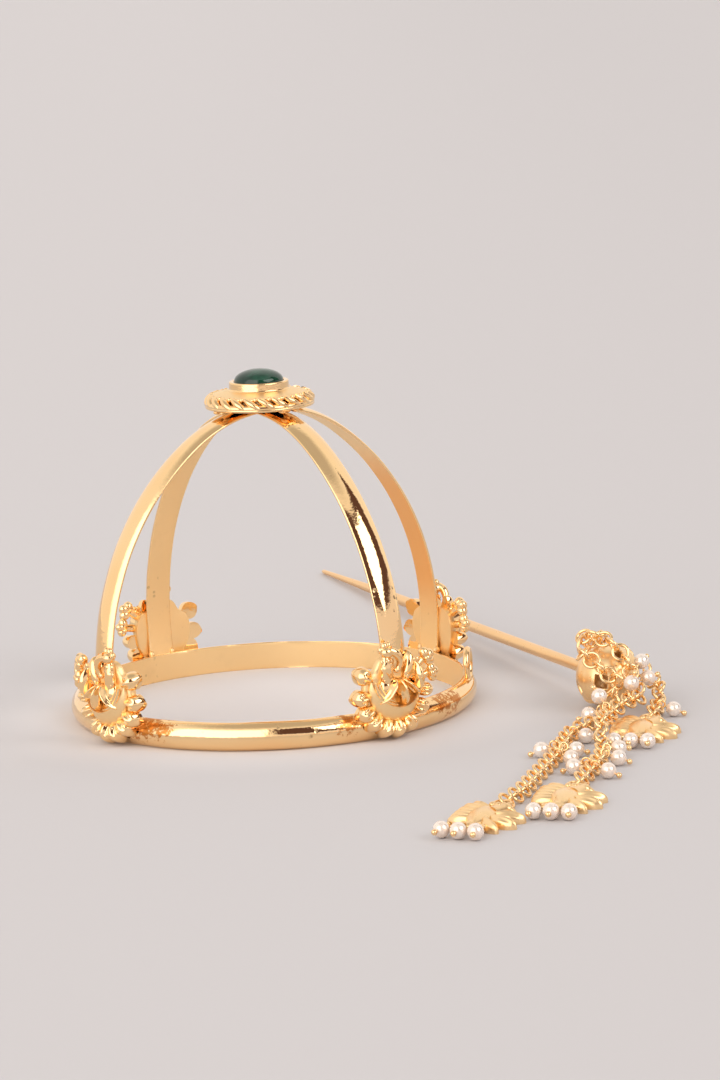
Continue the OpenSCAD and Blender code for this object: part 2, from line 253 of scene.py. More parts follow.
def leaf_outline(length, width, root, n, blunt):
    """Outline of a leaf that points along +x from the origin.

    Its half width is sin(pi t^(1 + root))^blunt, with t the share of its length, so it is fullest past
    its middle.
    """
    t = (1 - np.cos(around(n))) / 2
    bulge = np.sin(math.pi * t ** (1 + root)) ** blunt
    side = np.sign(np.sin(around(n)) + 1e-9)
    return np.stack([length * t, side * width / 2 * bulge], axis=-1)


def turned(points, degrees, shift):
    """Flat points turned about the origin and then shifted."""
    a = math.radians(degrees)
    c, s = math.cos(a), math.sin(a)
    return np.asarray(points) @ np.array([[c, s], [-s, c]]) + np.asarray(shift, float)


def ripple(a, seed, amount, waves=7):
    """A sum of slow sine waves round a closed angle a, with random phases, that stays within the amount."""
    rng = np.random.default_rng(seed)
    counts = rng.integers(2, 23, waves)
    phases = rng.uniform(0, TURN, waves)
    share = 1 / np.sqrt(counts)
    return amount * sum(s * np.sin(k * a + p) for k, p, s in zip(counts, phases, share)) / share.sum()


def rounded(corners, radii, steps=5):
    """Closed flat outline whose corners are cut back by their radii and bridged by parabolas."""
    corners = np.asarray(corners, float)
    out = []
    t = np.linspace(0, 1, steps)[:, None]
    for k, corner in enumerate(corners):
        if radii[k] <= 0:
            out.append(corner[None])
            continue
        a = corner + radii[k] * unit(corners[k - 1] - corner)
        b = corner + radii[k] * unit(corners[(k + 1) % len(corners)] - corner)
        out.append((1 - t) ** 2 * a + 2 * t * (1 - t) * corner + t ** 2 * b)
    return np.concatenate(out)


# Sizes that repeat the part's source, in millimetres and degrees

RING_R = 40.0
RING_H = 5.5
RING_T = 2.5
EYE_R = 38.7
EYE_Z = 8.1
EYE_OUT_R = 3.5
EYE_WIRE = 1.3
STRIP_W = 5.7
STRIP_T = 1.2
CAGE_H = 59.2
CAGE_R = 39.3
CROWN_R = 31.0
SPRING_Z = 12.7
FOOT_Z = 4.4
CROWN_Z = CAGE_H - CROWN_R
FLANK_R = (CAGE_R ** 2 + (CROWN_Z - SPRING_Z) ** 2 - CROWN_R ** 2) / (2 * (CAGE_R - CROWN_R))
FLANK_X = CAGE_R - FLANK_R
ARCH_HALF_L = 84.0
BOSS_R = 10.7
PLATE_Z = 60.25
PLATE_T = 0.6
BORDER_N = 22
BORDER_TOP_R = 9.4
BORDER_TOP_Z = 62.7
STRAND_LEAN = -14.0
BEZEL_R = 5.85
BEZEL_T = 0.95
BEZEL_FOOT_Z = 63.2
BEZEL_TOP_Z = 65.2
STONE_R = BEZEL_R - BEZEL_T - 0.05
STONE_FOOT_Z = 63.7
APEX_Z = 67.5
DOME_R = 5.9
MOTIF_BACK_R = 40.3
MOTIF_Z = 9.9
MOTIF_PLATE_T = 1.3
CLUSTER_ANGLE = 12
FLOWER_ANGLE = 34
MOTIF_AZIMUTHS = {"back_right": 44, "back_left": 133.5, "front_left": 229.5, "front_right": 313}
BOWL_R = 6.0
BOWL_H = 2.3
BREAST = (0.2, 2.6)
BREAST_R = 5.6
FAN_R = 41.5
PETAL_FOOT_R = 5.3

BALL = np.array([66.5, -4.0, 5.95])
BALL_R = 6.3
BALL_WALL = 0.7
CAP_R = 5.9
SEAM_R = 6.35
POLE_TILT = 43.3
POLE_AZIMUTH = 206.7
WINDOWS_N = 5
WINDOW_W = 2.6
WINDOW_FIRST = 64.5
WINDOW_POLAR = 64.0
WINDOW_DEPTHS = (3.0, 8.0)
SEAM_WIRE = 0.5
ROD_TIP = np.array([-11.4, 142.3, 0.62])
ROD_D = 2.3
ROD_TIP_D = 0.9
TAPER_L = 45.0
STAND_R = 1.9
STAND_WIRE = 0.68
STAND_UP = unit([-0.25, -0.15, 0.95])

CLEAR = 0.02
LINK_D = 3.7
LINK_WIRE = 0.65
LINK_PITCH = 2.2
LINK_R = (LINK_D - LINK_WIRE) / 2
CHAIN_Z = LINK_R * math.sin(math.radians(45)) + LINK_WIRE / 2 + CLEAR
PIN_LOOP_R = 0.75
PIN_WIRE = 0.4
PIN_HEAD_R = 0.55
PEARL_R = 1.5
PEARL_GAP = 0.1
PEARL_REACH = PIN_LOOP_R + PIN_WIRE / 2 + PEARL_GAP + PEARL_R
PIN_REACH = PEARL_REACH + PEARL_R + PEARL_GAP + PIN_HEAD_R
BAIL_R = 1.5
BAIL_WIRE = 0.6
BAIL_Y = 8.6
BAIL_Z = 1.5
BAIL_STEP = 1.85
CHARM_T = 1.9
CHARM_LOOP_R = 0.8
CHARM_LOOP_WIRE = 0.56
CHARM_LOOP_Y = -8.2
CHARM_LOOP_Z = 1.5
CHARM_LOOP_GAP = 2.6
FLOOR_Z = PEARL_R + CLEAR
CHARM_FAN = (-10, 0, 10)

# Each strand's knots, from the standing ring over the ball and along the surface
ROUTES = {
    "a": [(61.98, -7.78, 11.41), (62.98, -10.38, 11.65), (66.46, -12.03, 8.49), (68.76, -12.39, 7.04),
          (68.25, -12.06, 4.25), (66.94, -15.48, 1.08), (67.35, -19.68, 1.65), (64.64, -25.05, CHAIN_Z),
          (61.35, -33.93, CHAIN_Z), (60.43, -48.94, CHAIN_Z), (57.97, -67.95, CHAIN_Z),
          (56.62, -77.97, CHAIN_Z), (54.16, -87.06, CHAIN_Z)],
    "b": [(62.21, -5.88, 14.34), (65.03, -7.07, 14.51), (68.26, -8.78, 13.06), (70.24, -9.83, 10.74),
          (71.3, -10.06, 7.98), (72.27, -10.49, 5.99), (73.07, -14.2, 3.99), (71.36, -18.11, 4.27),
          (69.18, -23.27, 3.88), (68.03, -30.97, 4.01), (67.71, -38.32, 4.82), (68.4, -46, 1.82),
          (68.6, -54, CHAIN_Z), (66.23, -72.21, CHAIN_Z)],
    "c": [(62.86, -4.45, 13.26), (64.3, -2.63, 13.69), (64.16, 0.28, 12.64), (66.36, 2.79, 10.85),
          (69.48, 3.26, 8.37), (72.38, 2.25, 6.42), (74.55, -0.07, 4.6), (76.26, -5.23, 3.8),
          (76.37, -9.1, 2.11), (76.18, -13.57, CHAIN_Z), (75.6, -19, CHAIN_Z)],
}

# Pearls on the strands: the strand, and the place that the pearl hangs towards
HUNG = [
    ("a", (63.8, -17.43, 1.54)), ("a", (65, -35.4, FLOOR_Z)), ("a", (56.8, -46.6, FLOOR_Z)),
    ("a", (64.72, -46.42, FLOOR_Z)), ("a", (62.6, -53.4, FLOOR_Z)), ("b", (72.84, -7.95, 9.56)),
    ("b", (73.56, -8.09, 6.42)), ("b", (72.7, -17.18, 7.48)), ("b", (66, -24, 6.6)),
    ("b", (72.8, -46.6, 1.9)), ("b", (72.6, -53.6, FLOOR_Z)), ("b", (64.6, -60.4, FLOOR_Z)),
    ("b", (71.4, -63.6, FLOOR_Z)), ("c", (78.99, -13.6, FLOOR_Z)),
]


# The tassel's skeleton, by the formulas of the part's source


def knot(p, k):
    """The k-th of the points, or the first or last one beyond the ends."""
    return p[max(0, min(len(p) - 1, k))]


def smooth_curve(knots, steps=10):
    """A Catmull-Rom curve through the knots: a cubic in u between each two, from the four nearest knots."""
    p = [np.array(k, float) for k in knots]
    u = np.linspace(0, 1, steps, endpoint=False)[:, None]
    spans = []
    for k in range(len(p) - 1):
        a, b, c, d = (knot(p, k + j) for j in (-1, 0, 1, 2))
        spans.append(b + u / 2 * (c - a) + u ** 2 * (a - 2.5 * b + 2 * c - d / 2)
                     + u ** 3 * (1.5 * b - a / 2 - 1.5 * c + d / 2))
    return np.concatenate(spans + [p[-1][None]])


class Strand:
    """A cable chain: links at an even pitch along a curve, each turned 45 degrees to the surface."""

    def __init__(self, knots):
        line = smooth_curve(knots)
        length = np.concatenate([[0], np.cumsum(np.linalg.norm(np.diff(line, axis=0), axis=1))])
        at = np.arange(int(length[-1] // LINK_PITCH) + 1) * LINK_PITCH
        self.centres = np.stack([np.interp(at, length, line[:, k]) for k in range(3)], axis=-1)
        self.centres[:, 2] = np.maximum(self.centres[:, 2], CHAIN_Z)

    def heading(self, i):
        """The direction from the link before to the link after."""
        return unit(knot(self.centres, i + 1) - knot(self.centres, i - 1))

    def side(self, i):
        """Second axis of the link's circle: the level one, turned up or down by 45 degrees in turn."""
        t = self.heading(i)
        left = unit(np.cross(UP, t))
        return (left + (1 if i % 2 == 0 else -1) * np.cross(t, left)) / math.sqrt(2)

    def wire_out(self, i, place):
        """The point of link i's wire that is nearest to a place."""
        t, a, v = self.heading(i), self.side(i), place - self.centres[i]
        return self.centres[i] + LINK_R * unit(np.dot(v, t) * t + np.dot(v, a) * a)

    def hang(self, place):
        """Frame of a pin towards a place: where its loop sits, the way it points and its loop's axis."""
        place = np.array(place, float)
        i = int(np.argmin(np.linalg.norm(self.centres - place, axis=1)))
        j = min(i + 1, len(self.centres) - 1)
        if self.wire_out(i, place)[2] <= self.wire_out(j, place)[2]:
            i = j
        w = self.wire_out(i, place)
        d = fallen(w, place - w, place[2])
        normal = np.cross(self.heading(i), self.side(i))
        return w, d, square_to(np.cross(normal, unit(w - self.centres[i])), d)


def fallen(w, direction, z):
    """The unit vector over a level direction that brings a pearl hung at w to the height z."""
    fall = (z - w[2]) / PEARL_REACH
    level = unit([direction[0], direction[1], 0])
    return math.sqrt(1 - fall * fall) * level + fall * UP


class CharmPlace:
    """Where a charm lies: beyond its strand's last link, flat on the surface."""

    def __init__(self, strand):
        t = strand.heading(len(strand.centres) - 1)
        self.ahead = unit([t[0], t[1], 0])
        self.right = np.cross(UP, self.ahead)
        end = strand.centres[-1]
        self.centre = np.array([end[0], end[1], 0]) + self.ahead * (BAIL_STEP + BAIL_Y) + CLEAR * UP

    def place(self, points):
        """Points given to the charm's right, towards its bail and up."""
        points = np.asarray(points, float)
        return self.centre + points @ np.stack([self.right, -self.ahead, UP])

    def pin(self, k):
        """Frame of the k-th pin, as a strand's is: it fans out from its small loop, down to the surface."""
        a = math.radians(CHARM_FAN[k])
        direction = math.cos(a) * self.ahead + math.sin(a) * self.right
        w = self.place([CHARM_LOOP_GAP * (k - 1), CHARM_LOOP_Y, CHARM_LOOP_Z]) + CHARM_LOOP_R * direction
        d = fallen(w, direction, FLOOR_Z)
        return w, d, square_to(np.cross(UP, direction), d)


STRANDS = {name: Strand(knots) for name, knots in ROUTES.items()}
CHARMS = {name: CharmPlace(strand) for name, strand in STRANDS.items()}


# Shader maths


class Value:
    """A socket whose arithmetic adds Math nodes to its tree."""

    def __init__(self, look, socket):
        self.look = look
        self.socket = socket

    def maths(self, operation, first, second):
        return self.look.node("ShaderNodeMath", {"operation": operation}, {0: first, 1: second})

    def __add__(self, other):
        return self.maths("ADD", self, other)

    def __radd__(self, other):
        return self.maths("ADD", other, self)

    def __sub__(self, other):
        return self.maths("SUBTRACT", self, other)

    def __rsub__(self, other):
        return self.maths("SUBTRACT", other, self)

    def __mul__(self, other):
        return self.maths("MULTIPLY", self, other)

    def __rmul__(self, other):
        return self.maths("MULTIPLY", other, self)

    def __truediv__(self, other):
        return self.maths("DIVIDE", self, other)

    def __rtruediv__(self, other):
        return self.maths("DIVIDE", other, self)


class Look:
    """The node tree of a material or world while it is made."""

    def __init__(self, tree):
        self.tree = tree
        tree.nodes.clear()

    def node(self, kind, settings=None, inputs=None, output=0):
        """Adds a node, sets its settings first and then its sockets, and gives one of its outputs."""
        made = self.tree.nodes.new(kind)
        for name, setting in (settings or {}).items():
            setattr(made, name, setting)
        for name, given in (inputs or {}).items():
            if isinstance(given, Value):
                self.tree.links.new(given.socket, made.inputs[name])
            else:
                made.inputs[name].default_value = given
        return Value(self, made.outputs[output]) if made.outputs else None

    def parts_of(self, vector):
        """The three components of a vector."""
        split = self.node("ShaderNodeSeparateXYZ", inputs={"Vector": vector})
        return [Value(self, socket) for socket in split.socket.node.outputs]

    def coordinates(self):
        return self.node("ShaderNodeTexCoord", output="Object")

    def noise(self, where, scale, detail=2.0, rough=0.5):
        """Noise between 0 and 1, at a scale in cells a metre."""
        return self.node("ShaderNodeTexNoise", inputs={"Vector": where, "Scale": scale, "Detail": detail,
                                                       "Roughness": rough})

    def steps(self, value, low, high, to_low=0.0, to_high=1.0):
        """Smooth step of a value from low to high."""
        return self.node("ShaderNodeMapRange", {"interpolation_type": "SMOOTHSTEP"},
                         {"Value": value, "From Min": low, "From Max": high,
                          "To Min": to_low, "To Max": to_high})

    def mix(self, factor, a, b):
        """Colour between a and b."""
        return self.node("ShaderNodeMix", {"data_type": "RGBA"}, {0: factor, 6: a, 7: b}, 2)

    def bump(self, height, strength=1.0):
        """Normal of a surface raised by a height in metres."""
        return self.node("ShaderNodeBump", inputs={"Strength": strength, "Distance": 1.0, "Height": height})

    def surface(self, inputs):
        """Gives the material a surface with these inputs."""
        shade = self.node("ShaderNodeBsdfPrincipled", inputs=inputs)
        self.node("ShaderNodeOutputMaterial", inputs={"Surface": shade})


def scaled(colour, factor):
    """A colour times a number."""
    return [c * factor for c in colour]


def rgba(colour):
    return (*colour[:3], 1.0)


def new_look(name):
    material = bpy.data.materials.new(name)
    material.use_nodes = True
    return Look(material.node_tree)


# Finishes of the gold plating: the spread of the roughness, the height and size of the slow waves and the
# height of the fine ripple, in metres, and the share of pits
PLATING = {
    "polished gold": (0.02, 0.00016, 0.011, 0.000025, 1.0),
    "cast gold": (0.04, 0.00008, 0.003, 0.00001, 0.4),
    "satin gold": (0.10, 0.00008, 0.006, 0.00001, 0.5),
    "solder": (0.2, 0.0003, 0.0016, 0.00003, 1.0),
    "old gold": (0.14, 0.0001, 0.004, 0.00001, 0.8),
    "rod gold": (0.12, 0.00008, 0.006, 0.00001, 0.4),
    "chain gold": (0.05, 0.00006, 0.002, 0.000004, 0.3),
}
PIT_DEPTH = 0.00006
TARNISH = (0.42, 0.36, 0.22)
# Colour of the painted shade that deepens the satin faces at the back right
SHADE_ORANGE = (1.0, 0.53, 0.19)
BURNT = (0.58, 0.20, 0.035)

# Brown burns from soldering, by the castings on the ring's upper edge: degrees from +X, radius in metres
BURNS = ((240, 0.0030), (244, 0.0026), (248, 0.0018), (300, 0.0024), (335, 0.0028), (341, 0.0020))
BURNS_R = 0.0398
BURNS_Z = 0.0046


def gold_look(name, bright, deep, roughness, tarnish=0.0, marks=(), painted_back_shade=0.0):
    """Gold plating: the colour drifts between bright and deep, slow waves and fine grain bend the
    reflections, and small pits and rubbed patches break the shine.

    marks are burns from soldering, and the last argument is how strongly painted shade deepens the back right
    to orange.
    """
    spread, wave, wave_size, ragged, pits = PLATING[name]
    look = new_look(name)
    where = look.coordinates()
    slow = look.noise(where, 1 / wave_size)
    fine = look.noise(where, 1100.0, 3.0, 0.6)
    patch = look.steps(look.noise(where, 90.0, 4.0, 0.65), 0.54, 0.7)
    cells = look.node("ShaderNodeTexVoronoi", {"feature": "F1"},
                      {"Vector": where, "Scale": 620.0, "Randomness": 1.0})
    pit = look.steps(cells, 0.30, 0.12) * look.steps(look.noise(where, 140.0), 0.60, 0.68) * pits
    drift = look.steps(look.noise(where, 55.0), 0.35, 0.75)
    colour = look.mix(drift * 0.6, rgba(bright), rgba(deep))
    colour = look.mix(pit * 0.75, colour, rgba(scaled(deep, 0.35)))
    rough = fine * spread + patch * spread * 0.9 + pit * 0.3 + (roughness - spread * 0.5)
    if tarnish:
        colour = look.mix(patch * tarnish, colour, rgba(TARNISH))
    burnt = look.noise(where, 700.0, 5.0, 0.75) if marks else None
    for degrees, radius in marks:
        place = polar(BURNS_R, math.radians(degrees), BURNS_Z).tolist()
        off = look.node("ShaderNodeVectorMath", {"operation": "DISTANCE"}, {0: where, 1: place}, "Value")
        mark = look.steps(off / radius + burnt * 5.5, 3.8, 3.3)
        colour = look.mix(mark * 0.9, colour, rgba(BURNT))
        rough = rough + mark * 0.12
    # Painted shade: the satin faces at the back right, 10 to 22 mm up, deepen to orange.
    if painted_back_shade:
        x, y, z = look.parts_of(where)
        side = look.steps(x + y, 0.030, 0.045) * look.steps(z, 0.010, 0.022) * painted_back_shade
        colour = look.mix(side, colour, rgba(SHADE_ORANGE))
    height = slow * wave + fine * ragged - pit * PIT_DEPTH
    look.surface({"Base Color": colour, "Metallic": 1.0, "Roughness": rough, "Normal": look.bump(height)})


def pearl_look(name, body, blush):
    """Cultured pearl: a milky body that drifts to a soft blush, under a clear glossy coat."""
    look = new_look(name)
    where = look.coordinates()
    drift = look.noise(where, 260.0)
    look.surface({
        "Base Color": look.mix(look.steps(drift, 0.35, 0.65) * 0.6, rgba(body), rgba(blush)),
        "Roughness": look.steps(drift, 0.3, 0.7, 0.2, 0.3), "Metallic": 0.45, "Coat Weight": 1.0,
        "Coat Roughness": 0.04, "Coat IOR": 1.6,
        "Normal": look.bump(look.noise(where, 900.0, 3.0) * 0.00002)})


def stone_look(name, deep, light):
    """Dark green stone: lighter clouds in a deep body, polished like glass."""
    look = new_look(name)
    where = look.coordinates()
    clouds = look.steps(look.noise(where, 180.0, 4.0, 0.6), 0.42, 0.72) * 0.8
    veins = look.steps(look.noise(where, 520.0, 3.0, 0.7), 0.6, 0.8) * 0.2
    look.surface({"Base Color": look.mix(clouds + veins, rgba(deep), rgba(light)),
                  "Roughness": 0.04, "IOR": 1.52})


def looks():
    """The finishes, made once."""
    if "polished gold" not in bpy.data.materials:
        sizes = bpy.context.scene.ornament_finish
        bright, deep, satin = sizes.gold_bright, sizes.gold_deep, sizes.gold_satin
        gold_look("polished gold", bright, deep, sizes.polish, marks=BURNS)
        gold_look("cast gold", bright, deep, sizes.polish + 0.03)
        # The satin faces get painted shade at the back right.
        gold_look("satin gold", satin, scaled(satin, 0.95), sizes.satin, tarnish=0.08, painted_back_shade=0.9)
        gold_look("solder", scaled(bright, 0.92), deep, sizes.satin, tarnish=0.75)
        gold_look("old gold", bright, deep, sizes.satin * 0.7, tarnish=0.25)
        gold_look("rod gold", deep, scaled(deep, 0.95), sizes.satin * 0.7)
        gold_look("chain gold", bright, deep, sizes.polish + 0.06)
        pearl_look("cultured pearl", sizes.pearl_body, sizes.pearl_blush)
        stone_look("green stone", sizes.stone_deep, sizes.stone_light)
    return bpy.data.materials


# Base ring and arches


def half_round(width, thickness, land, edge, n=21):
    """Outline (out, across) of a band: a flat back at 0, small lands and an arc up to the thickness."""
    r = ((thickness - land) ** 2 + (width / 2) ** 2) / (2 * (thickness - land))
    half = math.asin(width / 2 / r)
    a = np.linspace(-half, half, n)
    arc = np.stack([thickness - r + r * np.cos(a), r * np.sin(a)], axis=-1)
    back = np.stack([np.zeros(9), np.linspace(width / 2, -width / 2, 9)], axis=-1)
    corners = np.concatenate([arc, back])
    radii = np.zeros(len(corners))
    radii[[0, n - 1, n, len(corners) - 1]] = [edge, edge, min(edge, land * 0.45), min(edge, land * 0.45)]
    return rounded(corners, radii)


def band_finish(profile, rows):
    """Finish of each quad of a band: 1 on the flat back, 0 elsewhere."""
    x = profile[:, 0]
    back = (x < 1e-6) & (np.roll(x, -1) < 1e-6)
    return np.broadcast_to(back.astype(int), (rows, len(x)))


class ORNAMENT_OT_base_ring(bpy.types.Operator):
    """Half-round base ring with slight waves from bending"""

    bl_idname = "ornament.base_ring"
    bl_label = "Base ring"

    def execute(self, context):
        # The band's profile goes round a circle. Its crest swells five times, and ripples bend face and top.
        sizes = context.scene.ornament_cage
        profile = half_round(RING_H, RING_T, 0.5, 0.12)
        a = around(sizes.ring_steps)[:, None]
        wave = ripple(a, 3, sizes.unevenness / MM)
        swell = ripple(a, 5, sizes.unevenness / MM)
        out = RING_R - RING_T + profile[:, 0] * (1 + 0.03 * np.sin(5 * a + 1)) + wave * (profile[:, 0] > 0)
        out = np.minimum(out, RING_R + 0.05)
        high = np.clip(RING_H / 2 + profile[:, 1] + swell * (profile[:, 1] > 0), 0, RING_H + 0.1)
        grid = polar(out, a, high)
        shell = Shell().add(grid, rows_wrap=True, finish=band_finish(profile, len(grid)))
        shell.piece("base_ring", "gold", ["polished gold", "satin gold"], ["cage"])
        return {"FINISHED"}


class ORNAMENT_OT_ring_eyes(bpy.types.Operator):
    """Two wire eyes that stand on the ring and take the stick, with a fillet of solder at each foot"""

    bl_idname = "ornament.ring_eyes"
    bl_label = "Wire eyes"

    def execute(self, context):
        shell = Shell()
        for side in (-1, 1):
            centre = np.array([side * EYE_R, 0, EYE_Z])
            shell.ring(centre, Y, UP, EYE_OUT_R - EYE_WIRE / 2, EYE_WIRE, 72, 24)
            for y in (-1.25, 1.25):
                shell.add(bead(centre + (0.1 * side, y, -2.75), (0.75, 1.1, 0.5)), finish=1)
        shell.piece("ring_eyes", "gold", ["polished gold", "solder"])
        return {"FINISHED"}


def arch_line(n):
    """Points (out, up) along an arch's inside from foot to foot, their outward normals and their lengths.

    Each flank is an arc about (FLANK_X, SPRING_Z), and between them lies the crown's arc about (0, CROWN_Z).
    """
    foot = math.asin((FOOT_Z - SPRING_Z) / FLANK_R)
    join = math.atan2(CROWN_Z - SPRING_Z, -FLANK_X)
    flank, crown = FLANK_R * (join - foot), CROWN_R * (math.pi / 2 - join)
    s = np.linspace(-1, 1, n) * (flank + crown)
    rest = flank + crown - np.abs(s)
    angle = np.where(rest < flank, foot + rest / FLANK_R, join + (rest - flank) / CROWN_R)
    on_flank = rest < flank
    x = np.where(on_flank, FLANK_X + FLANK_R * np.cos(angle), CROWN_R * np.cos(angle))
    z = np.where(on_flank, SPRING_Z + FLANK_R * np.sin(angle), CROWN_Z + CROWN_R * np.sin(angle))
    way = np.sign(s) + (s == 0)
    return np.stack([way * x, z], axis=-1), np.stack([way * np.cos(angle), np.sin(angle)], axis=-1), s


class ORNAMENT_OT_arches(bpy.types.Operator):
    """Two half-round strips bent into arches that cross under the boss, and the solder that holds them"""

    bl_idname = "ornament.arches"
    bl_label = "Arches"

    def execute(self, context):
        # The strip's profile goes along the arch's line and out along its normals, in an upright plane.
        sizes = context.scene.ornament_cage
        profile = half_round(STRIP_W, STRIP_T, 0.35, 0.14)
        line, normal, s = arch_line(sizes.arch_steps)
        shell = Shell()
        for turn, seed in ((45, 11), (135, 12)):
            phase = (s / ARCH_HALF_L * math.pi)[:, None]
            wave = ripple(phase, seed, sizes.unevenness / MM)
            across = profile[:, 1] * (1 + 0.012 * np.sin(3 * phase + seed)) + 0.25 * wave
            out = profile[:, 0] + wave * 0.35 * (profile[:, 0] > 0)
            radial = line[:, :1] + normal[:, :1] * out
            up = line[:, 1:] + normal[:, 1:] * out
            grid = radial[..., None] * flat(turn) + across[..., None] * flat(turn + 90) + up[..., None] * UP
            finish = np.concatenate([[np.zeros(len(profile))], band_finish(profile, len(grid))])
            shell.add(grid, finish=finish)
        shell.piece("arches", "gold", ["polished gold", "satin gold"])
        # Solder lies on both sides of each foot, and in three lumps where each flank goes under the boss.
        lumps = Shell()
        rng = np.random.default_rng(4)
        for k in range(4):
            d, across = flat(45 + 90 * k), flat(135 + 90 * k)
            axes = np.stack([d, across, UP], axis=1)
            for side in (-1, 1):
                lumps.add(bead(39.0 * d + side * 2.5 * across + 5.6 * UP, (0.8, 0.55, 0.8), axes))
            for _ in range(3):
                spot = (8.2 + rng.uniform(0, 1.6)) * d + rng.uniform(-1.8, 1.8) * across + 60.0 * UP
                lumps.add(bead(spot, (0.9, 0.7, 0.4), axes))
        lumps.piece("arch_solder", "gold", ["solder"])
        return {"FINISHED"}


# Boss and stone


class ORNAMENT_OT_boss(bpy.types.Operator):
    """Rim plate, pierced border of slanted strands with beads, domed skirt and the bezel round the stone"""

    bl_idname = "ornament.boss"
    bl_label = "Boss"

    def execute(self, context):
        top = PLATE_Z + PLATE_T
        plate = rounded([(1.0, PLATE_Z), (BOSS_R, PLATE_Z), (BOSS_R, top), (1.0, top)], [0, 0.2, 0.28, 0], 6)
        Shell().lathe(plate, 144).piece("boss_plate", "gold", ["polished gold"])

        # Each strand is a tube that leans round the boss as it climbs and is thickest halfway. Beads sit
        # between the strands' tops, a torus at their feet and a satin wall behind them.
        border = Shell()
        t = np.linspace(0, 1, 18)
        swell = np.sin(math.pi * t)
        radius = BOSS_R - 0.75 + (BORDER_TOP_R - BOSS_R + 0.6) * t + 0.2 * swell
        for i in range(BORDER_N):
            lean = i * 360 / BORDER_N
            angle = np.radians(lean + STRAND_LEAN * 1.3 * (t - 0.12))
            path = polar(radius, angle, top - 0.15 + (BORDER_TOP_Z - top) * t)
            border.add(tube(path, 0.7 + 0.3 * swell, flat(lean), 0.7))
            for share, z, size in ((0.62, BORDER_TOP_Z - 0.1, 0.5), (0.15, BORDER_TOP_Z - 0.25, 0.42)):
                place = BORDER_TOP_R * flat(lean + STRAND_LEAN + share * 360 / BORDER_N) + z * UP
                border.add(bead(place, (size, size, size * 0.9), n=12, m=16))
        border.ring((top + 0.08) * UP, X, Y, BOSS_R - 0.65, 1.3, 160, 18)
        inner = [(BORDER_TOP_R - 1.1, PLATE_Z + 0.3), (BORDER_TOP_R - 0.7, PLATE_Z + 0.3),
                 (BORDER_TOP_R - 0.8, BORDER_TOP_Z), (BORDER_TOP_R - 1.2, BORDER_TOP_Z)]
        border.lathe(inner, 96, finish=1)
        border.piece("boss_border", "gold", ["cast gold", "satin gold"])

        skirt = rounded([
            (STONE_R - 0.6, BEZEL_FOOT_Z + 0.1), (BORDER_TOP_R + 0.15, BORDER_TOP_Z - 0.35),
            (BORDER_TOP_R + 0.15, BORDER_TOP_Z), (BEZEL_R + 1.2, BEZEL_FOOT_Z + 0.12),
            (BEZEL_R + 0.02, BEZEL_FOOT_Z + 0.42), (BEZEL_R - 0.02, BEZEL_TOP_Z),
            (BEZEL_R - BEZEL_T, BEZEL_TOP_Z), (BEZEL_R - BEZEL_T, BEZEL_TOP_Z - 0.4),
            (BEZEL_R - BEZEL_T, STONE_FOOT_Z - 0.05), (STONE_R - 0.6, STONE_FOOT_Z - 0.05)],
            [0.05, 0.2, 0.2, 0.8, 0.3, 0.3, 0.3, 0.1, 0.05, 0.05], 6)
        on_cone = (skirt[:, 0] > BEZEL_R + 0.15) & (skirt[:, 1] > BEZEL_FOOT_Z - 0.5)
        Shell().lathe(skirt, 144, on_cone * 1).piece("boss_skirt", "gold", ["polished gold", "satin gold"])
        return {"FINISHED"}


class ORNAMENT_OT_cabochon(bpy.types.Operator):
    """Round green stone: a dome over a short girdle"""

    bl_idname = "ornament.cabochon"
    bl_label = "Cabochon"

    def execute(self, context):
        edge_z = APEX_Z - DOME_R + DOME_R * math.cos(math.asin(STONE_R / DOME_R))
        a = np.linspace(POLE, math.pi / 2, 28)
        dome = np.stack([STONE_R * np.sin(a), edge_z + (APEX_Z - edge_z) * np.cos(a) ** 0.9], axis=-1)
        under = [(STONE_R, STONE_FOOT_Z + 0.2), (STONE_R - 0.25, STONE_FOOT_Z), (0.02, STONE_FOOT_Z)]
        shell = Shell().lathe(np.concatenate([dome, under]), 96)
        shell.piece("cabochon_stone", "green_stone", ["green stone"], ["cabochon"])
        return {"FINISHED"}


# Peacock castings


class MotifPlace:
    """A casting's own axes, bent round the ring: x to its right as seen from outside, y up and z outwards."""

    def __init__(self, azimuth, flipped):
        self.azimuth = math.radians(azimuth)
        self.side = -1 if flipped else 1

    def place(self, grid):
        """x becomes an arc at FAN_R round the cage's axis."""
        x, y, z = np.moveaxis(grid, -1, 0)
        angle = self.azimuth + self.side * x / FAN_R
        return polar(MOTIF_BACK_R + z, angle, MOTIF_Z + y)


def grooved(gap, depth, start, end, shift):
    """Relief of grooves along x, gap apart, that fade out between two lengths and towards the outline."""

    def relief(x, y, s):
        fade = np.clip((end - x) / (end - start), 0, 1)
        wave = (0.5 + 0.5 * np.cos(TURN * (y / gap + shift))) ** 1.5
        return -depth * wave * fade * np.clip(1.3 * (1 - s ** 4), 0, 1)

    return relief


def feather(at, degrees, length, width, low, high, bow, blunt, grooves, depth, root):
    """Grid of a grooved leaf whose root is at a point, bowed to its left: y rises by bow times x squared."""
    outline = leaf_outline(length, width, root, 56, blunt)
    relief = grooved(width / grooves, depth, length * 0.9, length, 0.5 if grooves % 2 == 0 else 0)
    grid = puff(outline, low, low + 0.5, high, 2.4, 14, relief)
    grid[..., 1] += bow * grid[..., 0] ** 2
    grid[..., :2] = turned(grid[..., :2], degrees, at)
    return grid


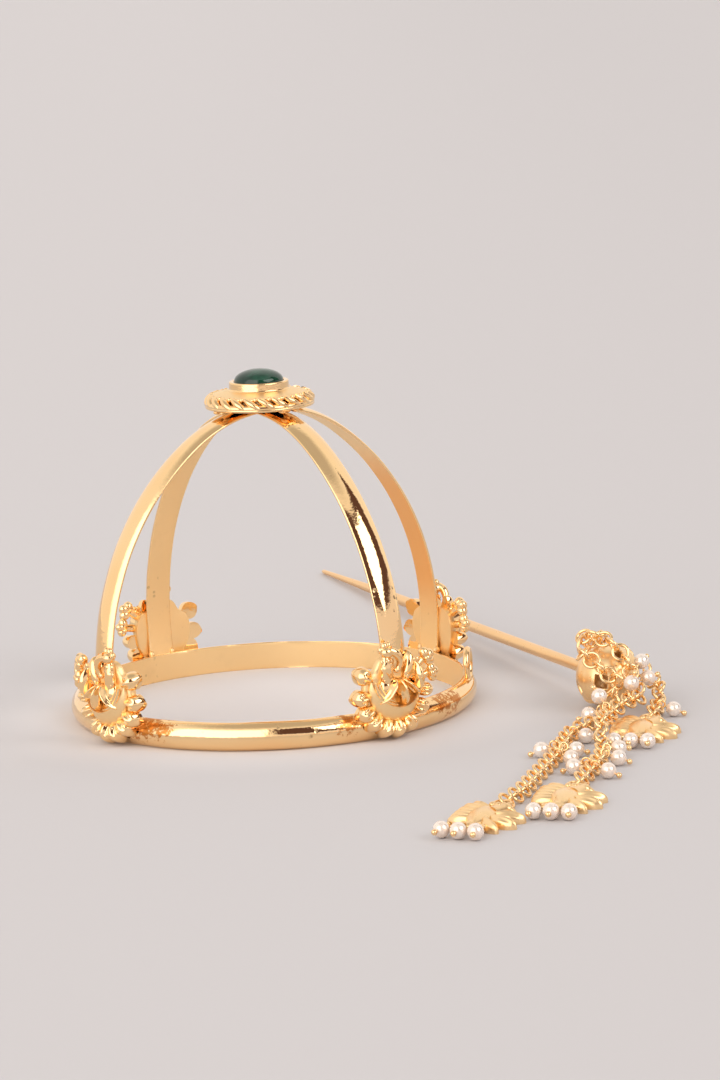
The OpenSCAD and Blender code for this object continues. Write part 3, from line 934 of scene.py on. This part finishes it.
def petal(degrees, reach, width, lean):
    """Grid of a petal: a blunt seed from under the bowl's edge to its reach, ribbed over its inner half."""
    length = reach - PETAL_FOOT_R
    outline = leaf_outline(length, width, 0.2, 72, 0.6)
    relief = grooved(width / 2.6, 0.55, length * 0.5, length * 0.72, 0.5)
    grid = puff(outline, 0.0, 0.7, 3.0, 2.3, 14, relief)
    grid[..., 2] -= 0.2 * np.maximum(grid[..., 0] - 0.5 * length, 0) ** 2 * (grid[..., 2] > 0.1)
    grid[..., :2] = turned(grid[..., :2], degrees + lean, PETAL_FOOT_R * flat(degrees)[:2])
    return grid


def bowl_grid():
    """Crescent between the fan's circle and that of the bird's breast: a dome of height BOWL_H over BOWL_R.

    v runs across it from the outer edge to the inner, and drop is the share of the way to the back plate.
    """
    rim_out = polar(BOWL_R, np.radians(np.linspace(158, 372, 65)))
    rim_in = BREAST + polar(BREAST_R, np.radians(np.linspace(184, 349, 65)))
    dome_r = (BOWL_R ** 2 + BOWL_H ** 2) / (2 * BOWL_H)
    v = np.array([0, 0, 0.03, 0.1, 0.22, 0.36, 0.5, 0.64, 0.76, 0.86, 0.92, 0.96, 1, 1])[:, None]
    drop = np.array([1, 0.45, 0.15, 0.03, 0, 0, 0, 0, 0, 0, -0.05, -0.04, 0.12, 1])
    xy = rim_out[:, None] * (1 - v) + rim_in[:, None] * v
    dome = np.sqrt(np.maximum(dome_r ** 2 - np.sum(xy ** 2, axis=-1), 0))
    top = MOTIF_PLATE_T + dome - dome_r + BOWL_H + 0.35
    rise = top * (1 - drop) + 0.3 * drop
    return np.concatenate([xy, rise[..., None]], axis=-1)


def scales(low, high, half_width, rows):
    """Small overlapping scales between two points, in rows that are set off by half a scale."""
    for k, share in enumerate(np.linspace(0, 1, rows)):
        middle = (1 - share) * np.array(low) + share * np.array(high)
        for turn in np.radians((-60, 0, 60) if k % 2 else (-30, 30)):
            place = middle + half_width * np.array([math.sin(turn), 0, math.cos(turn) * 0.85])
            yield bead(place, (0.55, 0.62, 0.3), n=10, m=14)


# The long feathers over the bowl: root, degrees, length, width, height and bow
PLUMES = (((-0.6, 2.7), 250, 6.0, 1.75, 4.4, -0.05), ((0.1, 2.4), 280, 5.7, 2.0, 4.7, 0.0),
          ((0.7, 2.3), 310, 5.6, 1.75, 4.3, 0.02))


def bird_parts():
    """Grids of the peacock over the bowl: its breast, neck, head, hooked beak, crest, feathers and horn."""
    t = np.linspace(0, 1, 26)
    yield bead((-2.2, 0.2, 1.5), (1.9, 2.8, 1.55), n=26, m=36)
    neck = np.column_stack([-2.0 - 0.3 * np.sin(math.pi * t), 1.2 + 6.0 * t, 1.6 + 0.5 * np.sin(math.pi * t)])
    yield tube(neck, 1.45 - 0.6 * t, X, 0.85, 26)
    yield from scales((-2.2, 2.2, 1.8), (-2.15, 5.7, 1.8), 1.0, 6)
    head = np.array([-2.1, 7.5, 2.1])
    yield bead(head, (1.4, 1.15, 1.3))
    hook = smooth_curve([head + (0.4, 0.3, 0.5), head + (1.3, -0.2, 0.9), head + (2.1, -1.3, 0.9),
                         head + (2.4, -2.6, 0.5), head + (1.9, -3.6, 0.3)], 7)
    yield tube(hook, 1.0 - 0.5 * np.linspace(0, 1, len(hook)), UP, 0.9, 18)
    yield bead(head + (1.9, -3.6, 0.3), (0.66, 0.6, 0.6), n=14, m=18)
    yield bead(head + (0.2, 0.3, 1.15), (0.34, 0.34, 0.28), n=10, m=14)
    for x, y, r in ((-1.2, 0.5, 0.62), (-0.45, 1.15, 0.72), (0.45, 1.2, 0.66)):
        yield bead(head + (x, y, -0.1), (r, r * 1.2, r), n=14, m=18)
    for at, degrees, length, width, high, bow in PLUMES:
        yield feather(at, degrees, length, width, 0.9, high, bow, 0.42, 2, 0.5, 0.15)
    for reach, low, high in ((5.35, 186, 262), (4.7, 190, 250)):
        rim = (*BREAST, 0) + polar(reach, np.radians(np.linspace(low, high, 22)), 2.75)
        yield tube(rim, 0.45 * np.sin(np.linspace(0.25, math.pi - 0.25, 22)) ** 0.6, UP, m=14)
    yield feather((3.9, -1.4), 72, 6.3, 2.3, 0.8, 4.3, 0.05, 0.7, 1, 0.0, 0.0)
    yield feather((1.7, 0.7), 60, 6.4, 2.8, 0.4, 2.6, 0.03, 0.5, 1, 0.0, 0.1)
    yield from scales((2.8, 2.2, 1.5), (4.6, 5.0, 1.4), 0.9, 5)


# Petals of the fan: the angle of each, how far it reaches, its width and how far it leans to one side
PETALS = ((157, 9.6, 3.6, -8), (186, 9.6, 3.4, 3), (211, 9.75, 3.3, 0), (232, 9.75, 3.2, -3),
          (252, 9.75, 3.3, 0), (272, 9.75, 3.3, 0), (293, 9.75, 3.3, 4), (323, 9.6, 3.1, 10),
          (350, 9.4, 2.8, 2))


def casting_parts():
    """Grids of one casting, in its own axes. The first two are its back plate and its bowl.

    The plate is a disc with a notch on either side of the head, each a bell curve of the angle.
    """
    a = around(96)
    rim = 6.7 - sum(deep * np.exp(-((np.angle(np.exp(1j * (a - middle)))) / width) ** 2)
                    for deep, middle, width in ((1.7, 1.15, 0.36), (0.9, 2.36, 0.25)))
    yield puff(polar(rim, a), -0.4, 0.7, MOTIF_PLATE_T, 6, 6)
    yield bowl_grid()
    yield from bird_parts()
    for degrees, reach, width, lean in PETALS:
        yield petal(degrees, reach, width, lean)
    for degrees, radius, lobe in ((CLUSTER_ANGLE, 8.7, 1.15), (FLOWER_ANGLE, 8.8, 1.25)):
        centre = radius * flat(degrees) + 1.7 * UP
        yield bead(centre + 0.5 * UP, (lobe * 0.6,) * 3, n=12, m=16)
        for k in (-1, 0, 1):
            d = flat(degrees + 72 * k)
            yield bead(centre + 0.7 * lobe * d, (lobe, lobe * 0.82, lobe * 0.85), frame_of(d, UP), 18, 24)
        stem = np.linspace(4.6 * flat(degrees) + 0.9 * UP, radius * flat(degrees) + 1.2 * UP, 8)
        yield tube(stem, 0.8, UP, m=12)


class ORNAMENT_OT_castings(bpy.types.Operator):
    """Four peacock castings at the feet of the arches, two of them mirrored"""

    bl_idname = "ornament.castings"
    bl_label = "Peacock castings"

    def execute(self, context):
        for i, (name, azimuth) in enumerate(MOTIF_AZIMUTHS.items()):
            shell = Shell(MotifPlace(azimuth, i % 2 == 0).place)
            for k, part in enumerate(casting_parts()):
                shell.add(part, finish=1 if k < 2 else 0)
            shell.piece("casting_" + name, "gold", ["cast gold", "satin gold"], crease=CAST_CREASE)
        return {"FINISHED"}


# Hair stick


class ORNAMENT_OT_hair_stick(bpy.types.Operator):
    """Tapered rod, the ball with its pierced upper half, capped lower half and seam, and the standing ring"""

    bl_idname = "ornament.hair_stick"
    bl_label = "Hair stick"

    def wall(self, radius, pole, equator):
        """Profile of half the ball's wall, from pole angle to pole angle: out at a radius and back inside."""
        a = np.linspace(pole, equator, 34)
        arc = np.stack([np.sin(a), np.cos(a)], axis=-1)
        return np.concatenate([radius * arc, (CAP_R - BALL_WALL) * arc[::-1]])

    def cut_windows(self, ball, placed):
        """Cuts a row of square windows, standing on their corners, round the ball."""
        cutters = Shell(placed)
        for i in range(WINDOWS_N):
            d, south = on_sphere(WINDOW_POLAR, WINDOW_FIRST + i * 360 / WINDOWS_N)
            east = np.cross(d, south)
            corners = [WINDOW_W / math.sqrt(2) * (math.cos(q) * south + math.sin(q) * east)
                       for q in around(4)]
            cutters.add([[d * h + c for c in corners] for h in WINDOW_DEPTHS])
        tool = cutters.piece("window_cutters", "gold_satin", ["old gold"])
        cut = ball.modifiers.new("windows", "BOOLEAN")
        cut.object = tool
        cut.operation = "DIFFERENCE"
        cut.solver = "EXACT"
        bpy.context.view_layer.update()
        final = bpy.data.meshes.new_from_object(ball.evaluated_get(bpy.context.evaluated_depsgraph_get()))
        ball.modifiers.clear()
        ball.data = final
        bpy.data.objects.remove(tool)

    def execute(self, context):
        axis, x = on_sphere(POLE_TILT, POLE_AZIMUTH)
        axes = frame_of(x, axis)

        def placed(grid):
            return BALL + grid @ axes.T

        upper = Shell(placed).lathe(self.wall(BALL_R, POLE, math.pi / 2), 120)
        self.cut_windows(upper.piece("pierced_ball", "gold_satin", ["old gold"]), placed)
        cap = Shell(placed).lathe(self.wall(CAP_R, math.pi / 2, math.pi - POLE), 120)
        for z in (-0.24, 0.24):
            cap.ring(z * UP, X, Y, SEAM_R - 0.16, SEAM_WIRE, 120, 12)
        cap.piece("ball_cap", "gold_satin", ["old gold"])

        # The rod narrows evenly over its last length. A bell curve thickens it at the ball. Its tip is round.
        length = float(np.linalg.norm(ROD_TIP - BALL))
        taper = length - TAPER_L
        s = np.concatenate([np.linspace(CAP_R - 0.6, taper, 40), np.linspace(taper, length, 30)[1:]])
        radius = (ROD_D + (ROD_TIP_D - ROD_D) * np.maximum(s - taper, 0) / TAPER_L) / 2
        collar = 1 + 0.28 * np.exp(-((s - CAP_R) / 0.7) ** 2)
        tip = np.clip((length - s) / 0.5, 0.05, 1) ** 0.5
        rod = Shell().add(tube(BALL + s[:, None] * unit(ROD_TIP - BALL), radius * collar * tip, UP, 1.0, 28))
        rod.piece("stick_rod", "gold_satin", ["rod gold"], ["hair_stick"])

        ring_axis = square_to(np.array([0.9, -0.43, 0.0]), STAND_UP)
        pole = BALL + BALL_R * axis
        centre = pole + (STAND_R + 0.1) * STAND_UP
        standing = Shell().ring(centre, STAND_UP, np.cross(ring_axis, STAND_UP), STAND_R, STAND_WIRE, 56, 18)
        standing.add(bead(pole + 0.15 * axis, (1.0, 1.0, 0.45), axes))
        standing.piece("standing_ring", "gold_satin", ["old gold"])
        return {"FINISHED"}


# Tassel


class ORNAMENT_OT_chains(bpy.types.Operator):
    """Three cable chains of round links"""

    bl_idname = "ornament.chains"
    bl_label = "Chains"

    def execute(self, context):
        for name, strand in STRANDS.items():
            shell = Shell()
            for i, centre in enumerate(strand.centres):
                shell.ring(centre, strand.heading(i), strand.side(i), LINK_R, LINK_WIRE, 36, 12)
            shell.piece("links_" + name, "gold", ["chain gold"], ["chain_" + name])
        return {"FINISHED"}


def charm_parts():
    """Grids of one bird charm: x to its right, y towards its bail and z up from the surface."""
    t = np.linspace(0, 1, 18)
    yield puff(turned(leaf_outline(12.0, 5.4, 0.0, 64, 0.7), 97, (0.7, -6.9)), 0, 0.9, CHARM_T + 0.9, 2.0, 14)
    for k in range(6):
        yield feather((0.6 - 0.12 * k, 3.4 - 1.2 * k), 150 + 7 * k, 7.8 - 0.5 * abs(k - 1), 1.9, 0,
                      CHARM_T + 0.45 - 0.06 * k, -0.012, 0.55, 1, 0.0, 0.3)
    for y, degrees, length, width in ((0.4, 2, 7.0, 2.6), (-1.3, -22, 7.2, 2.6), (-2.8, -46, 6.4, 2.4)):
        yield feather((0.2, y), degrees, length, width, 0, CHARM_T + 0.35, 0.02, 0.6, 2, 0.3, 0.3)
    neck = np.column_stack([0.9 + 1.2 * t, 1.6 + 2.8 * t, 1.3 + 0.25 * t])
    yield tube(neck, 1.45 - 0.45 * t, X, 0.9, 20)
    yield bead((2.3, 4.6, 1.55), (1.2, 1.05, 0.95), n=18, m=22)
    beak = np.column_stack([3.0 + 1.5 * t, 4.6 - 0.8 * t ** 2, 1.5 - 0.3 * t])
    yield tube(beak, 0.55 * (1 - t) + 0.08, UP, m=12)
    yoke = rounded([(-0.9, 2.8), (0.9, 2.8), (1.1, 6.6), (0, 7.2), (-1.1, 6.6)], [0.2] * 5)
    yield puff(yoke, 0, 1.1, CHARM_T, 3.0, 7)
    for k in (-1, 0, 1):
        yield bead((k * 1.05, 6.5, CHARM_T - 0.35), (0.7, 0.7, 0.65), n=12, m=16)
    bar_end = CHARM_LOOP_GAP + 0.3
    bar = np.linspace([-bar_end, CHARM_LOOP_Y + 1.25, 1.0], [bar_end, CHARM_LOOP_Y + 1.25, 1.0], 14)
    yield tube(bar, 0.72, UP)
    tail = rounded([(-1.0, -7.0), (1.0, -7.0), (1.3, -3.6), (-1.3, -3.6)], [0.2] * 4)
    yield puff(tail, 0, 1.0, CHARM_T, 3.0, 7)


class ORNAMENT_OT_charms(bpy.types.Operator):
    """Three bird charms with a bail at one end and three small loops at the other"""

    bl_idname = "ornament.charms"
    bl_label = "Bird charms"

    def execute(self, context):
        for name, charm in CHARMS.items():
            shell = Shell(charm.place)
            for part in charm_parts():
                shell.add(part)
            shell.ring((0, BAIL_Y, BAIL_Z), X, Y, BAIL_R, BAIL_WIRE, 48, 14)
            for x in (-CHARM_LOOP_GAP, 0, CHARM_LOOP_GAP):
                shell.ring((x, CHARM_LOOP_Y, CHARM_LOOP_Z), X, Y, CHARM_LOOP_R, CHARM_LOOP_WIRE, 32, 12)
            shell.piece("bird_" + name, "gold", ["old gold"], ["charm_" + name], CAST_CREASE)
        return {"FINISHED"}


class ORNAMENT_OT_pearl_drops(bpy.types.Operator):
    """Pearls on their headpins, fourteen on the strands and three on each charm"""

    bl_idname = "ornament.pearl_drops"
    bl_label = "Pearl drops"

    def execute(self, context):
        drops = {name: [] for name in STRANDS}
        for number, (name, place) in enumerate(HUNG, 1):
            drops[name].append((STRANDS[name].hang(place), f"pearl_{number}"))
        for name, charm in CHARMS.items():
            for k in range(len(CHARM_FAN)):
                drops[name].append((charm.pin(k), f"charm_pearl_{name}_{k + 1}"))
        rng = np.random.default_rng(21)
        t = np.linspace(0, 1, 8)[:, None]
        for name, rows in drops.items():
            pins = Shell()
            for (w, d, z), node in rows:
                y = np.cross(z, d)
                pins.ring(w, d, y, PIN_LOOP_R, PIN_WIRE, 28, 10)
                pins.add(tube(w + (PIN_LOOP_R * (1 - t) + PIN_REACH * t) * d, PIN_WIRE / 2, y, m=10))
                pins.add(bead(w + PIN_REACH * d, (PIN_HEAD_R,) * 3, frame_of(y, d), 14, 20))
                stretch = 1 + rng.uniform(-0.02, 0.02, 3)
                body = bead(w + PEARL_REACH * d, PEARL_R * stretch, frame_of(y, d), 30, 40)
                body[..., 2] += max(0, CLEAR - body[..., 2].min())
                Shell().add(body).piece(node + "_bead", "pearl", ["cultured pearl"], [node])
            pins.piece("headpins_" + name, "gold", ["chain gold"], ["pins_" + name])
        return {"FINISHED"}


# Studio

# Soft edges of what hangs in the tent, each from no effect to the full one. They are in degrees: heights,
# azimuths from +X, or azimuths past an edge of the softbox, whose sides draw in at its foot and its head
BOX_EDGE = (-1.5, 1.5)
BOX_TOP = (52.0, 48.0)
BOX_FOOT = (32.0, 12.0)
BOX_HEAD = (46.0, 53.0)
FOOT_LEFT, FOOT_RIGHT, HEAD_RIGHT = 15.0, 34.0, 24.0
WALL_TOP = (11.5, 14.0)
FLAG_LEFT = (-30, -26)
FLAG_RIGHT = (35.0, 31.0)
FLAG_TOP = (57.0, 53.0)
FRONT_LEFT = (-155.0, -140.0)
FRONT_RIGHT = (-84.0, -90.0)
FRONT_TOP = (60.0, 45.0)
ZENITH = (55.0, 75.0)
ZENITH_COLOUR = (0.1, 0.09, 0.08)
FLAG_COLOUR = (0.09, 0.036, 0.029)
BOX_COLOUR = (1.0, 0.98, 0.95)


class ORNAMENT_OT_stage(bpy.types.Operator):
    """Pale paper floor, tented studio light with a softbox to the right, and the camera"""

    bl_idname = "ornament.stage"
    bl_label = "Studio"

    def floor(self, stage):
        """A square of paper with painted shade that darkens it a little to the right, and painted light that
        brightens it inside the ring and round it.
        """
        half = stage.floor_size / 2
        corners = [(-half, -half, 0), (half, -half, 0), (half, half, 0), (-half, half, 0)]
        mesh = bpy.data.meshes.new("paper_floor")
        mesh.from_pydata(corners, [], [(0, 1, 2, 3)])
        look = new_look("paper")
        where, paper = look.coordinates(), stage.floor_colour
        x, y, _ = look.parts_of(where)
        # Painted shade: the paper darkens a little towards the right and the back, where the light falls off.
        far = look.steps(x + y * 0.17, -0.1, 0.3)
        colour = look.mix(far, rgba(paper), rgba(scaled(paper, 0.95)))
        # Painted light: inside the ring and round it the paper is brightened, standing in for the light that
        # the gold ring reflects onto it.
        inside = look.steps(x * x + y * y, 0.0036, 0.0012)
        look.surface({
            "Base Color": look.mix(inside, colour, rgba(scaled(paper, stage.painted_ring_light))), "Roughness": 0.9,
            "Specular IOR Level": 0.1, "Normal": look.bump(look.noise(where, 2500.0) * 0.00003, 0.4)})
        mesh.materials.append(bpy.data.materials["paper"])
        made = put("paper_floor", mesh)

    def light(self, stage):
        """Works in degrees: azimuth from +X and height over the horizon.

        The softbox is narrower towards its foot and its head, mostly on its right. It and the dark flags
        beside it stand on a low wall of paper. The tent is brighter in front of the ornament.
        """
        world = bpy.data.worlds.new("tent")
        bpy.context.scene.world = world
        world.use_nodes = True
        look = Look(world.node_tree)
        x, y, z = look.parts_of(look.node("ShaderNodeTexCoord", output="Generated"))
        azimuth = look.node("ShaderNodeMath", {"operation": "ARCTAN2"}, {0: y, 1: x}) * (180 / math.pi)
        height = look.node("ShaderNodeMath", {"operation": "ARCSINE"}, {0: z}) * (180 / math.pi)
        left = stage.box_azimuth - stage.box_half_width
        right = stage.box_azimuth + stage.box_half_width
        foot, head = look.steps(height, *BOX_FOOT), look.steps(height, *BOX_HEAD)
        past_left = azimuth - left - foot * FOOT_LEFT
        past_right = right - azimuth - foot * FOOT_RIGHT - head * HEAD_RIGHT
        over_wall = look.steps(height, *WALL_TOP)
        box = look.steps(past_left, *BOX_EDGE) * look.steps(past_right, *BOX_EDGE)
        box = box * over_wall * look.steps(height, *BOX_TOP)
        dark = look.steps(azimuth, left + FLAG_LEFT[0], left + FLAG_LEFT[1])
        dark = dark * look.steps(azimuth, *FLAG_RIGHT)
        wall = dark * look.steps(height, *WALL_TOP[::-1])
        dark = dark * over_wall * look.steps(height, *FLAG_TOP)
        front = look.steps(azimuth, *FRONT_LEFT) * look.steps(azimuth, *FRONT_RIGHT)
        front = front * look.steps(height, *FRONT_TOP)
        tent = look.mix(front, rgba(stage.tent_colour), rgba(scaled(stage.tent_colour, stage.front)))
        tent = look.mix(look.steps(height, *ZENITH) * 0.5, tent, rgba(ZENITH_COLOUR))
        tent = look.mix(wall, tent, rgba(stage.wall_colour))
        tent = look.mix(dark * stage.flag, tent, rgba(FLAG_COLOUR))
        tent = look.mix(box, tent, rgba(scaled(BOX_COLOUR, stage.box_strength)))
        background = look.node("ShaderNodeBackground",
                               inputs={"Color": tent, "Strength": stage.tent_strength})
        look.node("ShaderNodeOutputWorld", inputs={"Surface": background})

    def camera(self, stage):
        """Stands at an azimuth and elevation round the target, looks beside it and rolls about its view."""
        a, e = stage.view_azimuth, stage.view_elevation
        back = Vector((math.sin(a) * math.cos(e), -math.cos(a) * math.cos(e), math.sin(e)))
        right = Vector((math.cos(a), math.sin(a), 0))
        target = Vector((0, 0, stage.target_height))
        place = target + stage.view_distance * back
        aim = target + stage.aim_right * right + stage.aim_up * back.cross(right)
        forward = (aim - place).normalized()
        level = forward.cross(Vector(UP)).normalized()
        over = level.cross(forward)
        c, s = math.cos(stage.roll), math.sin(stage.roll)
        across, above = c * level - s * over, s * level + c * over
        data = bpy.data.cameras.new("studio_camera")
        data.sensor_width = 36.0
        data.lens = stage.view_pixels * data.sensor_width / FULL_HEIGHT
        data.clip_start = 0.01
        data.clip_end = 100.0
        made = put("studio_camera", data)
        made.matrix_world = Matrix((
            (across.x, above.x, -forward.x, place.x), (across.y, above.y, -forward.y, place.y),
            (across.z, above.z, -forward.z, place.z), (0, 0, 0, 1)))
        bpy.context.scene.camera = made

    def execute(self, context):
        stage = context.scene.ornament_stage
        self.floor(stage)
        self.light(stage)
        self.camera(stage)
        context.scene.view_settings.view_transform = "Standard"
        return {"FINISHED"}


class OrnamentCage(bpy.types.PropertyGroup):
    """Driving values of the cage"""

    ring_steps: IntProperty(name="Ring steps", description="Sections round the base ring",
                            default=420, min=96)
    arch_steps: IntProperty(name="Arch steps", description="Sections along each arch", default=280, min=64)
    unevenness: FloatProperty(name="Unevenness", description="Largest wave left by bending and hammering",
                              default=0.00012, unit="LENGTH", precision=5)


class OrnamentFinish(bpy.types.PropertyGroup):
    """Colours and polish"""

    gold_bright: FloatVectorProperty(name="Bright gold", description="Gold plating where it is thick",
                                     default=(1.0, 0.71, 0.38), subtype="COLOR", min=0, max=1)
    gold_deep: FloatVectorProperty(name="Deep gold", description="Gold plating where it is thin",
                                   default=(0.98, 0.62, 0.29), subtype="COLOR", min=0, max=1)
    gold_satin: FloatVectorProperty(name="Satin gold", description="Colour of the brushed plating",
                                    default=(1.0, 0.73, 0.39), subtype="COLOR", min=0, max=1)
    polish: FloatProperty(name="Polish", description="Roughness of the polished faces",
                          default=0.045, min=0, max=1)
    satin: FloatProperty(name="Satin", description="Roughness of the satin faces", default=0.42, min=0, max=1)
    pearl_body: FloatVectorProperty(name="Pearl", description="Body of the pearls",
                                    default=(0.92, 0.83, 0.75), subtype="COLOR", min=0, max=1)
    pearl_blush: FloatVectorProperty(name="Blush", description="Second tone of the pearls",
                                     default=(0.95, 0.76, 0.63), subtype="COLOR", min=0, max=1)
    stone_deep: FloatVectorProperty(name="Deep green", description="Body of the stone",
                                    default=(0.004, 0.028, 0.017), subtype="COLOR", min=0, max=1)
    stone_light: FloatVectorProperty(name="Light green", description="Clouds in the stone",
                                     default=(0.016, 0.095, 0.055), subtype="COLOR", min=0, max=1)


class OrnamentStage(bpy.types.PropertyGroup):
    """Floor, light and camera"""

    floor_size: FloatProperty(name="Floor", description="Side of the paper floor",
                              default=24.0, unit="LENGTH")
    floor_colour: FloatVectorProperty(name="Paper", description="Colour of the floor",
                                      default=(0.634, 0.615, 0.630), subtype="COLOR", min=0, max=1)
    # Painted light: how much brighter the paper is painted inside the ring, for the light that the ring
    # reflects onto it.
    painted_ring_light: FloatProperty(name="Ring glow", description="How much brighter the paper is inside the ring",
                             default=1.17)
    tent_colour: FloatVectorProperty(name="Tent", description="Colour of the light tent",
                                     default=(1.0, 0.95, 0.90), subtype="COLOR", min=0, max=1)
    tent_strength: FloatProperty(name="Tent strength", description="Brightness of the tent", default=1.0)
    box_azimuth: FloatProperty(name="Softbox azimuth", description="Its middle, in degrees from +X",
                               default=-25.0)
    box_half_width: FloatProperty(name="Softbox half width", description="Half its width in degrees",
                                  default=29.0)
    box_strength: FloatProperty(name="Softbox strength", description="Its brightness over the tent's",
                                default=3.2)
    flag: FloatProperty(name="Flags", description="How dark it is on both sides of the softbox", default=0.97)
    wall_colour: FloatVectorProperty(name="Wall", description="Colour of the low wall under the softbox",
                                     default=(0.88, 0.80, 0.80), subtype="COLOR", min=0, max=1)
    front: FloatProperty(name="Front", description="Brightness of the tent in front of the ornament",
                         default=2.4)
    view_azimuth: FloatProperty(name="View azimuth", description="Turn of the camera round the ornament",
                                default=math.radians(9.6), unit="ROTATION")
    view_elevation: FloatProperty(name="View elevation", description="Height angle of the camera",
                                  default=math.radians(10.18), unit="ROTATION")
    view_distance: FloatProperty(name="View distance", description="From the target to the camera",
                                 default=0.8019, unit="LENGTH")
    target_height: FloatProperty(name="Target height", description="Height of the target over the surface",
                                 default=0.0307, unit="LENGTH")
    aim_right: FloatProperty(name="Aim right", description="How far beside the target the camera looks",
                             default=0.01832, unit="LENGTH")
    aim_up: FloatProperty(name="Aim up", description="How far above the target the camera looks",
                          default=0.00189, unit="LENGTH")
    roll: FloatProperty(name="Roll", description="Turn of the camera about its view",
                        default=math.radians(2.602), unit="ROTATION")
    view_pixels: FloatProperty(name="Focal length", description="In pixels of a picture 1080 pixels high",
                               default=4085.87)


STEPS = (ORNAMENT_OT_base_ring, ORNAMENT_OT_ring_eyes, ORNAMENT_OT_arches, ORNAMENT_OT_boss,
         ORNAMENT_OT_cabochon, ORNAMENT_OT_castings, ORNAMENT_OT_hair_stick, ORNAMENT_OT_chains,
         ORNAMENT_OT_charms, ORNAMENT_OT_pearl_drops, ORNAMENT_OT_stage)


class ORNAMENT_PT_panel(bpy.types.Panel):
    """Lists the steps that build the ornament"""

    bl_idname = "ORNAMENT_PT_panel"
    bl_label = "Hair bun ornament"
    bl_space_type = "VIEW_3D"
    bl_region_type = "UI"
    bl_category = "Ornament"

    def draw(self, context):
        scene = context.scene
        for group in (scene.ornament_cage, scene.ornament_finish, scene.ornament_stage):
            box = self.layout.box()
            for name in group.__annotations__:
                box.prop(group, name)
        for step in STEPS:
            self.layout.operator(step.bl_idname)


GROUPS = (("ornament_cage", OrnamentCage), ("ornament_finish", OrnamentFinish),
          ("ornament_stage", OrnamentStage))


def register():
    for name, group in GROUPS:
        bpy.utils.register_class(group)
        setattr(bpy.types.Scene, name, PointerProperty(type=group))
    for kind in (*STEPS, ORNAMENT_PT_panel):
        bpy.utils.register_class(kind)


def unregister():
    for kind in reversed((*STEPS, ORNAMENT_PT_panel)):
        bpy.utils.unregister_class(kind)
    for name, group in reversed(GROUPS):
        delattr(bpy.types.Scene, name)
        bpy.utils.unregister_class(group)


def main():
    register()
    for step in STEPS:
        kind, name = step.bl_idname.split(".")
        getattr(getattr(bpy.ops, kind), name)()


if __name__ == "__main__":
    main()
